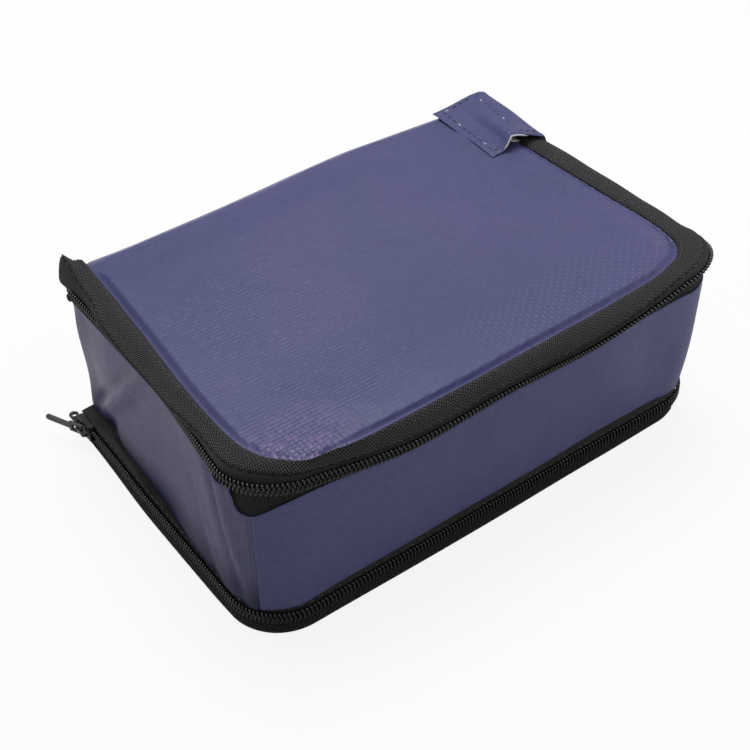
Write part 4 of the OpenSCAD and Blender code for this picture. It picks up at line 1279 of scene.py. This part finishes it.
pad_piece("front_pad", A_ + C_ + 2, A_ + C_ + B_ - 2, 1.5, 4.3, 17, 69.5, M_PAD, "barrier_pad", "front_padding", puff=0.0)
pad_piece("left_pad", 4, A_ - 2, 1.5, 4.3, 24, 69.5, M_PAD, "barrier_pad", "left_padding", puff=0.0)
pad_piece("right_pad", A_ + 2 * C_ + B_ + 2, L_ - 4, 1.5, 4.3, 17, 69.5, M_PAD, "barrier_pad", "right_padding", puff=0.0)


def lining_grid():
    """Inner lining: one loop round all four sides, following the walls at a depth."""
    s = np.concatenate([np.arange(3.5, 119, 2.5), np.arange(119, 168, 1.6), np.arange(168, 318, 2.5), np.arange(318, 370, 1.6), np.arange(370, L_ - 3.4, 2.5)])
    nz = 30
    k = np.linspace(0, 1, nz)
    zt = np.minimum(70.2, upper(s)[0][:, 2] - 4.2)
    z0 = 15.0
    Z = z0 + (zt - z0)[:, None] * k[None]
    Sg = np.broadcast_to(s[:, None], Z.shape)
    W = np.minimum(wall_out(Sg, Z), 0.4) * 0.85
    q = 0.45 * (np.abs(np.sin((Sg + Z) * PI / 30)) ** 0.5 * np.abs(np.sin((Sg - Z) * PI / 30)) ** 0.5 - 0.7) * np.clip(np.minimum(Z - z0, zt[:, None] - Z) / 5, 0, 1)
    P = side(Sg, Z, W - 4.75 - q)
    # back run
    xr = P[-1, :, 0]
    xl = P[0, :, 0]
    nb = 90
    f = np.linspace(0, 1, nb + 2)[1:-1]
    zb = Z[0][None] * (1 - f)[:, None] * 0 + (Z[-1][None] * (1 - f)[:, None] + Z[0][None] * f[:, None])
    X = xr[None] * (1 - f)[:, None] + xl[None] * f[:, None]
    qb = 0.45 * (np.abs(np.sin((X + zb) * PI / 30)) ** 0.5 * np.abs(np.sin((X - zb) * PI / 30)) ** 0.5 - 0.7)
    Y = 69.2 - qb * 1.0 + 0 * X
    Bk = np.stack([X, Y, zb], -1)
    uvb = np.stack([L_ + (xr[None] - X), zb], -1)
    return np.concatenate([P, Bk]), np.concatenate([np.stack([Sg, Z], -1), uvb])


PL, UL = lining_grid()
LN = grid_normals(PL, True)
sheet("inner_lining", PL, UL, 0.5, M_LIN, "bag_body", "lining_cloth", ("body_lining",), closed_u=True, sharp=60)

# top-edge stitches on the lining
bq = Batch()
s_idx = np.arange(0, len(PL), 2)
for i in s_idx:
    j = PL.shape[1] - 3
    i2 = (i + 1) % len(PL)
    T = PL[i2, j] - PL[i - 1, j]
    if np.linalg.norm(T) > 12:
        continue
    T /= np.linalg.norm(T)
    n_in = -LN[i, j]
    stitch_on(bq, PL[i, j] + n_in * 0.5, n_in, T, 2.6, 0.16, 0.02, 0.12)
bq.make("lining_stitches", mat=M_TWH, body="bag_body", slot="thread_white", sharp=None)


def back_pad():
    x = np.linspace(-102, 102, 84)
    z = np.linspace(17, 69.5, 26)
    X, Z = np.meshgrid(x, z, indexing="ij")
    e = np.minimum.reduce([X - x[0], x[-1] - X, Z - z[0], z[-1] - Z])
    rr = np.sqrt(np.clip(1 - (1 - np.clip(e / 1.6, 0, 1)) ** 2, 0, 1))
    P = np.stack([X, 71.2 + 1.3 * (0.3 + 0.7 * rr), Z], -1)
    return sheet("back_pad", P[::-1], np.stack([X, Z], -1)[::-1], 2.6 * (0.3 + 0.7 * rr), M_PAD, "bag_body", "barrier_pad", ("back_padding",), sharp=60)


back_pad()

# middle floor
slab_piece("mid_floor_foam", 5.8, 44.0, 41.2, M_PAD, "bag_body", "barrier_pad", "mid_floor_pad", plan_fun=plan_at(42.6, 6.4))
slab_piece("mid_floor_sleeve", 5.5, 44.9, 40.3, M_MID, "bag_body", "lining_cloth", "mid_floor_cover", crown=0.7, quilt=0.5, plan_fun=plan_at(42.6, 5.9))


# ------------------------------------------------------------------ back wall and hinges
def back_y(x, z):
    tz = np.clip((z - 8) / 68, 0, 1)
    y = 73.35 + 0.25 * np.sin(x * 0.045 + 1) * np.sin(PI * tz) + 0.18 * np.sin(x * 0.11 + z * 0.05) * np.sin(PI * tz)
    y = y + 0.9 * gauss(x, 10, 70) * np.sin(PI * tz)
    return y


def panel_uv(P, a=0, b=2):
    return np.stack([P[..., a] + 120, P[..., b]], -1)


XB = np.linspace(-101.6, 104.2, 150)
Zb = np.linspace(8, 76, 50)
Xg, Zg = np.meshgrid(XB, Zb, indexing="ij")
edge_x = np.minimum(Xg - XB[0], XB[-1] - Xg)
Pb = np.stack([Xg, back_y(Xg, Zg) + 0.65 - 0.4 * (1 - np.clip(edge_x / 0.8, 0, 1)) ** 2, Zg], -1)[::-1]
sheet("back_panel", Pb, panel_uv(Pb), 0.7, M_BACK, "bag_body", "coated_fabric", ("back_wall_outer",), back=M_REV)


def hinge_section(x, top):
    """Rows of (y, z) from the back panel round the fold to the flap."""
    n = len(x)
    if top:
        zt = lid_z(x, np.full(n, 70.6))
        # a light fold line stands just proud, then the sheet rolls down the back
        rows_ = []
        yb = back_y(x, np.full(n, 76.0)) + 0.65
        r = 2.1
        for y in (70.6, 70.85, 71.1, 71.35, 71.6, 71.8):
            rows_.append((np.full(n, y), zt + lid_relief(x, np.full(n, y), np.full(n, 0.4), np.ones(n)) + 0.42 * gauss(y, 71.7, 0.45) - 0.22 * gauss(y, 70.9, 0.5) + 0.10 * np.sin(x * 0.16) * gauss(y, 71.7, 0.6)))
        yc = yb - r
        for a in np.linspace(0.25, 1, 8) * PI / 2:
            rows_.append((yc + r * math.sin(a), zt - r + r * math.cos(a) + 0.20 * math.cos(a)))
        for f in np.linspace(0, 1, 8)[1:]:
            rows_.append((yb, (zt - r) * (1 - f) + 76.0 * f))
        return rows_
    rows_ = []
    yb = back_y(x, np.full(n, 8.0)) + 0.65
    r = 1.9
    for f in np.linspace(0, 1, 6)[:-1]:
        rows_.append((yb, 8.0 * (1 - f) + (0.45 + r) * f + 0 * x))
    yc = yb - r
    for a in np.linspace(0, 1, 8) * PI / 2:
        rows_.append((yc + r * math.cos(a), 0.45 + r - r * math.sin(a) + 0 * x))
    for y in (70.9, 69.9, 68.8, 67.6):
        rows_.append((np.full(n, y), np.full(n, 0.45)))
    return rows_


def strip(name, top, mat):
    x = np.linspace(-101.4 if top else -103.6, 103.6, 150)
    R_ = hinge_section(x, top)
    P = np.stack([np.stack([x, y, z], -1) for y, z in R_], 1)
    if top:
        # under the ends of the lid tape the fold lies lower
        dip = 1.5 * (sstep(-92.5, -96.5, x) + sstep(94.5, 98.5, x))
        P[..., 2] -= dip[:, None] * sstep(76.5, 82, P[..., 2])
    seg = np.concatenate([np.zeros((len(x), 1)), np.cumsum(np.linalg.norm(np.diff(P, axis=1), axis=2), 1)], 1)
    uv = np.stack([np.broadcast_to(x[:, None] + 120, seg.shape), seg], -1)
    V, F, UV, k = sheet_arrays(P, uv, 0.7)
    # outward check: first face's normal should point up or back
    c = V[F[0]]
    nrm = np.cross(c[1] - c[0], c[2] - c[0])
    want = np.array([0, 0, 1.0]) if top else np.array([0, 1.0, 0])
    if nrm @ want < 0:
        V, F, UV, k = sheet_arrays(P, uv, 0.7, flip=True)
    o = new_mesh(name, V, F, UV, [mat, M_REV], None, "coated_fabric", (), 55, k)
    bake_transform(o)
    return o


strip("lid_hinge_fold", True, M_FOLD)
strip("base_hinge_fold", False, M_BACK)

# back seam stitches: a row either side of the hinge folds, on the still parts
bh = Batch()
for x in np.arange(-98, 99, 4.4):
    for z in (74.6, 9.4):
        y = float(back_y(np.array([x]), np.array([z]))[0]) + 0.65
        stitch_on(bh, np.array([x, y, z]), np.array([0, 1.0, 0]), np.array([1.0, 0, 0]), 2.9, 0.15, 0.0, 0.10)
for z in np.arange(12, 72, 4.2):
    for x in (-99.6, 102.2):
        y = float(back_y(np.array([x]), np.array([z]))[0]) + 0.65
        stitch_on(bh, np.array([x, y, z]), np.array([0, 1.0, 0]), np.array([0, 0, 1.0]), 2.8, 0.15, 0.0, 0.10)
bh.make("back_panel_stitches", mat=M_TN, body="bag_body", slot="thread_black", sharp=None)


# ------------------------------------------------------------------ base flap
def base_panel():
    s = np.concatenate([np.arange(3.6, 118, 2.0), np.arange(118, 172, 1.2), np.arange(172, 318, 2.0), np.arange(318, 372, 1.2), np.arange(372, L_ - 3.4, 2.0)])
    P, N = lower(s)
    Bp = P[:, :2] - N * 5.4
    Bp[:, 1] = np.minimum(Bp[:, 1], 67.6)
    x = np.linspace(Bp[-1, 0], Bp[0, 0], 120)[1:-1]
    Bd = np.concatenate([Bp, np.stack([x, np.full_like(x, 67.6)], -1)])
    n = len(Bd)
    c = np.stack([np.round(np.clip(Bd[:, 0] * 0.4, -38, 38) / 2.0) * 2.0, np.full(n, 2.0)], -1)
    fr_ = np.array([0, 0.01, 0.02, 0.035, 0.05, 0.08, 0.12, 0.18, 0.26, 0.36, 0.48, 0.6, 0.72, 0.84, 0.94, 1.0])
    back = sstep(58, 67, Bd[:, 1])
    g = np.zeros((n, len(fr_), 3))
    for j, f in enumerate(fr_):
        xy = Bd + (c - Bd) * f
        z = 0.40 + 0.12 * np.sin(xy[:, 0] * 0.06) * np.sin(xy[:, 1] * 0.08 + 1) * sstep(0.02, 0.2, f)
        z = z + (0.22 * math.exp(-((f - 0.035) / 0.012) ** 2)) * (1 - back)
        g[:, j, :2] = xy
        g[:, j, 2] = z
    return disc("base_panel", g, g[..., :2] + 120, 0.6, [M_BACK, M_REV], "base_flap", "coated_fabric", ("base_outer",), True, 55)


base_panel()


def plan_low(inset):
    def f(s):
        P, N = lower(s)
        return P[:, :2] - N * inset
    return f


slab_piece("base_pad", 3.6, 3.9, 1.2, M_PAD, "base_flap", "barrier_pad", "base_padding", plan_fun=plan_low(4.2))
slab_piece("base_inner_lining", 3.4, 4.75, 4.15, M_LIN, "base_flap", "lining_cloth", "base_lining", quilt=0.4, plan_fun=plan_low(3.8))


# ------------------------------------------------------------------ corner tab
PK = np.array([0, 0.22, 0.34, 0.44, 0.50, 0.58, 0.76, 0.90, 0.95, 1.0])
TF = np.array([[76.9, 88.7], [81.2, 88.9], [84.0, 91.0], [85.8, 93.6], [87.4, 95.0], [90.6, 94.5], [99.3, 90.9], [105.6, 88.0], [108.4, 86.6], [110.0, 83.7]])
TB = np.array([[79.8, 88.6], [87.0, 89.1], [92.0, 89.7], [96.0, 90.3], [98.5, 90.6], [101.5, 90.9], [105.6, 90.9], [108.6, 90.1], [110.3, 88.6], [111.4, 86.0]])


def tab_point(p, e):
    """p across the tab (left edge to outer edge), e along it (front 0, back 1)."""
    f = pchip(PK, TF, p)
    b = pchip(PK, TB, p)
    y = 33.0 + 43.0 * e - 0.5 * np.sin(PI * p) * (1 - e) - 1.7 * sstep(0.6, 0.0, p) * (1 - e) ** 2
    w = e[..., None] ** 0.85
    xz = f * (1 - w) + b * w
    x = xz[..., 0]
    z = xz[..., 1] + 0.35 * np.sin(e * 7 + p * 4) * np.sin(PI * e) - 0.55 * gauss(p, 0.27 + 0.15 * (1 - e), 0.05) * gauss(e, 0.28, 0.36) + 0.35 * gauss(p, 0.38 + 0.10 * (1 - e), 0.05) * gauss(e, 0.30, 0.35) + 0.3 * np.sin(PI * e) * gauss(p, 0.15, 0.15)
    return np.stack([x, y, z], -1)


p_ = np.linspace(0, 1, 62)
e_ = np.linspace(0, 1, 56)
Pg, Eg = np.meshgrid(p_, e_, indexing="ij")
TP = tab_point(Pg, Eg)
TN = grid_normals(TP)
if TN[20, 20, 2] < 0:
    TN = -TN
segp = np.concatenate([np.zeros((1, len(e_))), np.cumsum(np.linalg.norm(np.diff(TP, axis=0), axis=2), 0)], 0)
UVtab = np.stack([segp, TP[..., 1]], -1)
edge_t = np.minimum.reduce([segp, segp[-1:] - segp, (TP[..., 1] - TP[:, :1, 1]), (TP[:, -1:, 1] - TP[..., 1])])
TPo = TP - TN * (0.35 * (1 - np.clip(edge_t / 0.8, 0, 1)) ** 2 + 0.16 * gauss(edge_t, 3.4, 0.55))[..., None]
flip_t = grid_normals(TP)[20, 20, 2] < 0
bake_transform(sheet("tab_fabric", TPo, UVtab, 0.62, M_TAB, None, "coated_fabric", ("corner_tab_outer",), flip=flip_t))

# pale reverse layer: follows the fabric, and its free front corner drops back to the lid
Pb2 = 0.03 + 0.955 * Pg
Eb2 = 0.02 + 0.96 * Eg
open_ = sstep(0.16, 0.36, Pg) * sstep(0.80, 0.66, Pg)
Eb2 = Eb2 * (1 - open_) + Eg * open_
BPk = tab_point(Pb2, Eb2)
BPn = grid_normals(BPk)
if BPn[20, 20, 2] < 0:
    BPn = -BPn
BPk = BPk - BPn * 0.66
grow = 0.5 * open_
BPk = BPk - np.stack([np.zeros_like(Pg), grow * (1 - Eg), 0.0 * Pg], -1)
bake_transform(sheet("tab_reverse_layer", BPk, UVtab, 0.5, M_REV, None, "tab_reverse", ("corner_tab_backing",), flip=flip_t))
nu_, nv_ = 22, 16
a_ = np.linspace(0, 1, nu_)
b_ = np.linspace(0, 1, nv_)
Ag, Bg = np.meshgrid(a_, b_, indexing="ij")
# the flap: from the ridge's underside down to the lid, widest at the front
ridge_f = tab_point(np.full_like(Bg, 0.47), Bg * 0.62)
ridge_f[..., 2] -= 1.25
low_f = np.stack([97.2 - 3.0 * Bg, 35.4 + 26 * Bg, 86.5 + 2.2 * Bg], -1)
FLP = ridge_f * (1 - Ag[..., None]) + low_f * Ag[..., None]
FLP[..., 2] -= 0.8 * np.sin(PI * Ag)
FLP[..., 1] += 1.5 * np.sin(PI * Ag * 0.5) * (1 - Bg)
sheet("tab_reverse_fold", FLP, np.stack([Ag * 9, Bg * 27], -1), 0.4, M_REV, "corner_tab", "tab_reverse", (), sharp=60)

bw = Batch()
bd = Batch()


def tab_run(pts, white, length=2.9):
    """Stitches along a polyline in the tab's own (p, e) coordinates."""
    pts = np.array(pts, float)
    dense = []
    for a, b in zip(pts[:-1], pts[1:]):
        for t in np.linspace(0, 1, 40)[:-1]:
            dense.append(a + (b - a) * t)
    dense = np.array(dense + [pts[-1]])
    Q = tab_point(dense[:, 0], dense[:, 1])
    cum = np.concatenate([[0], np.cumsum(np.linalg.norm(np.diff(Q, axis=0), axis=1))])
    for k, c in enumerate(np.arange(1.8, cum[-1] - 1.5, 3.9)):
        i = int(np.searchsorted(cum, c))
        i = min(max(i, 1), len(Q) - 2)
        T = Q[i + 1] - Q[i - 1]
        T /= np.linalg.norm(T)
        pu = tab_point(np.array([dense[i, 0] + 0.01]), np.array([dense[i, 1]]))[0]
        pv = tab_point(np.array([dense[i, 0]]), np.array([dense[i, 1] + 0.01]))[0]
        n = np.cross(pu - Q[i], pv - Q[i])
        n /= np.linalg.norm(n)
        if n[2] < 0:
            n = -n
        pale = (k % 5 == white)
        stitch_on(bw if pale else bd, Q[i] - n * 0.10, n, T, length if not pale else 2.0, 0.2, 0.04, 0.15)


tab_run([(0.13, 0.07), (0.13, 0.93)], 1)
tab_run([(0.13, 0.93), (0.60, 0.94)], 0)
tab_run([(0.60, 0.94), (0.66, 0.08)], 1)
tab_run([(0.66, 0.08), (0.90, 0.07)], 5)
tab_run([(0.13, 0.07), (0.30, 0.05)], 5)
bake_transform(bw.make("tab_stitches_pale", mat=M_TWH, body=None, slot="thread_white", repl=("corner_tab_stitching",), sharp=None))
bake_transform(bd.make("tab_stitches_dark", mat=M_TN, body=None, slot="thread_black", sharp=None))


# ------------------------------------------------------------------ sliders keep their exact shapes; enamel and a broken edge
for n_ in ("upper_slider_body", "lower_slider_body", "upper_slider_bridge", "lower_slider_bridge", "upper_puller", "lower_puller"):
    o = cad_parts[n_]
    o.data.materials.clear()
    o.data.materials.append(M_PUL if "puller" in n_ else M_MET)
    bv = o.modifiers.new("edge", "BEVEL")
    bv.width = 0.00018
    bv.segments = 2
    bv.limit_method = "ANGLE"
    bv.angle_limit = math.radians(40)
    bv.harden_normals = False

# ------------------------------------------------------------------ floor, light, camera
fm_ = bpy.data.meshes.new("studio_floor")
q_ = 3.0
fm_.from_pydata([(-q_, -q_, 0), (q_, -q_, 0), (q_, q_, 0), (-q_, q_, 0)], [], [(0, 1, 2, 3)])
floor = bpy.data.objects.new("studio_floor", fm_)
floor.location = (0, 0, -0.0002)
bpy.context.scene.collection.objects.link(floor)
nbf = NB("studio_floor_paper")
nf_ = nbf.noise(nbf.obj(), 40.0, 2)
nbf.set(Base_Color=nbf.mix(nf_, (0.60, 0.60, 0.60), (0.64, 0.64, 0.64)), Roughness=0.9,
        Normal=nbf.bump(nbf.noise(nbf.obj(), 400.0, 2), 0.0001, 0.2))
nbf.put(nbf.bsdf.inputs["Specular IOR Level"], 0.0)
# the camera sees bright paper with only a faint shadow; the bag is lit by the paper's plain reflection
em_ = nbf.n("ShaderNodeEmission")
em_.inputs[0].default_value = (1, 1, 1, 1)
em_.inputs[1].default_value = 1.03
mx_ = nbf.n("ShaderNodeMixShader")
lp_ = nbf.n("ShaderNodeLightPath")
nbf.put(mx_.inputs[0], nbf.op("MULTIPLY", lp_.outputs["Is Camera Ray"], 0.85))
nbf.nt.links.new(nbf.bsdf.outputs[0], mx_.inputs[1])
nbf.nt.links.new(em_.outputs[0], mx_.inputs[2])
# seen from underneath the paper is clear, so the bottom of the bag can be looked at
gm_ = nbf.n("ShaderNodeNewGeometry")
clear_ = nbf.n("ShaderNodeBsdfTransparent")
mx2_ = nbf.n("ShaderNodeMixShader")
nbf.put(mx2_.inputs[0], nbf.op("MAXIMUM", gm_.outputs["Backfacing"], nbf.op("GREATER_THAN", lp_.outputs["Transparent Depth"], 0.5)))
nbf.nt.links.new(mx_.outputs[0], mx2_.inputs[1])
nbf.nt.links.new(clear_.outputs[0], mx2_.inputs[2])
nbf.nt.links.new(mx2_.outputs[0], [n for n in nbf.nt.nodes if n.type == "OUTPUT_MATERIAL"][0].inputs["Surface"])
fm_.materials.append(nbf.m)

world = bpy.data.worlds.new("studio")
bpy.context.scene.world = world
world.use_nodes = True
world.node_tree.nodes["Background"].inputs[0].default_value = (1.0, 1.0, 1.0, 1)
world.node_tree.nodes["Background"].inputs[1].default_value = 0.34


def area(name, loc, target, size, power, color=(1, 1, 1)):
    l = bpy.data.lights.new(name, "AREA")
    l.shape = "DISK"
    l.size = size
    l.energy = power
    l.color = color
    o = bpy.data.objects.new(name, l)
    o.location = loc
    o.rotation_mode = "QUATERNION"
    o.rotation_quaternion = (Vector(target) - Vector(loc)).to_track_quat("-Z", "Y")
    bpy.context.scene.collection.objects.link(o)
    return o


area("key_overhead", (0.10, 0.26, 1.20), (0, 0, 0.04), 0.8, 12.6)
area("fill_left", (-0.9, 0.78, 0.48), (0, 0, 0.04), 0.5, 2.2)
area("fill_right", (0.95, -0.50, 0.45), (0, 0, 0.04), 0.7, 2.9)

az, el, roll, f_px, dist, tx, ty = -35.33829629, 40.31691801, -1.2915649, math.exp(7.196073019546817), math.exp(6.348062689991722), -7.785962583676462, 20.89366139344613
a_r, e_r = math.radians(az), math.radians(el)
bvec = np.array([math.sin(a_r) * math.cos(e_r), -math.cos(a_r) * math.cos(e_r), math.sin(e_r)])
right = np.cross([0, 0, 1.0], bvec)
right /= np.linalg.norm(right)
upv = np.cross(bvec, right)
cr_, sr_ = math.cos(math.radians(roll)), math.sin(math.radians(roll))
rv = cr_ * right + sr_ * upv
uv_ = -sr_ * right + cr_ * upv
Cc = (bvec * dist + rv * tx + uv_ * ty) * MM
cam_d = bpy.data.cameras.new("photo_camera")
cam_d.sensor_width = 36
cam_d.lens = f_px / 750 * 36
cam_d.clip_start, cam_d.clip_end = 0.02, 20
cam = bpy.data.objects.new("photo_camera", cam_d)
cam.matrix_world = Matrix(((rv[0], uv_[0], bvec[0], Cc[0]), (rv[1], uv_[1], bvec[1], Cc[1]), (rv[2], uv_[2], bvec[2], Cc[2]), (0, 0, 0, 1)))
bpy.context.scene.collection.objects.link(cam)
bpy.context.scene.camera = cam
vs = bpy.context.scene.view_settings
vs.view_transform = "Standard"
vs.look = "None"
vs.exposure = 0.0
vs.gamma = 1.0

bpy.context.view_layer.update()
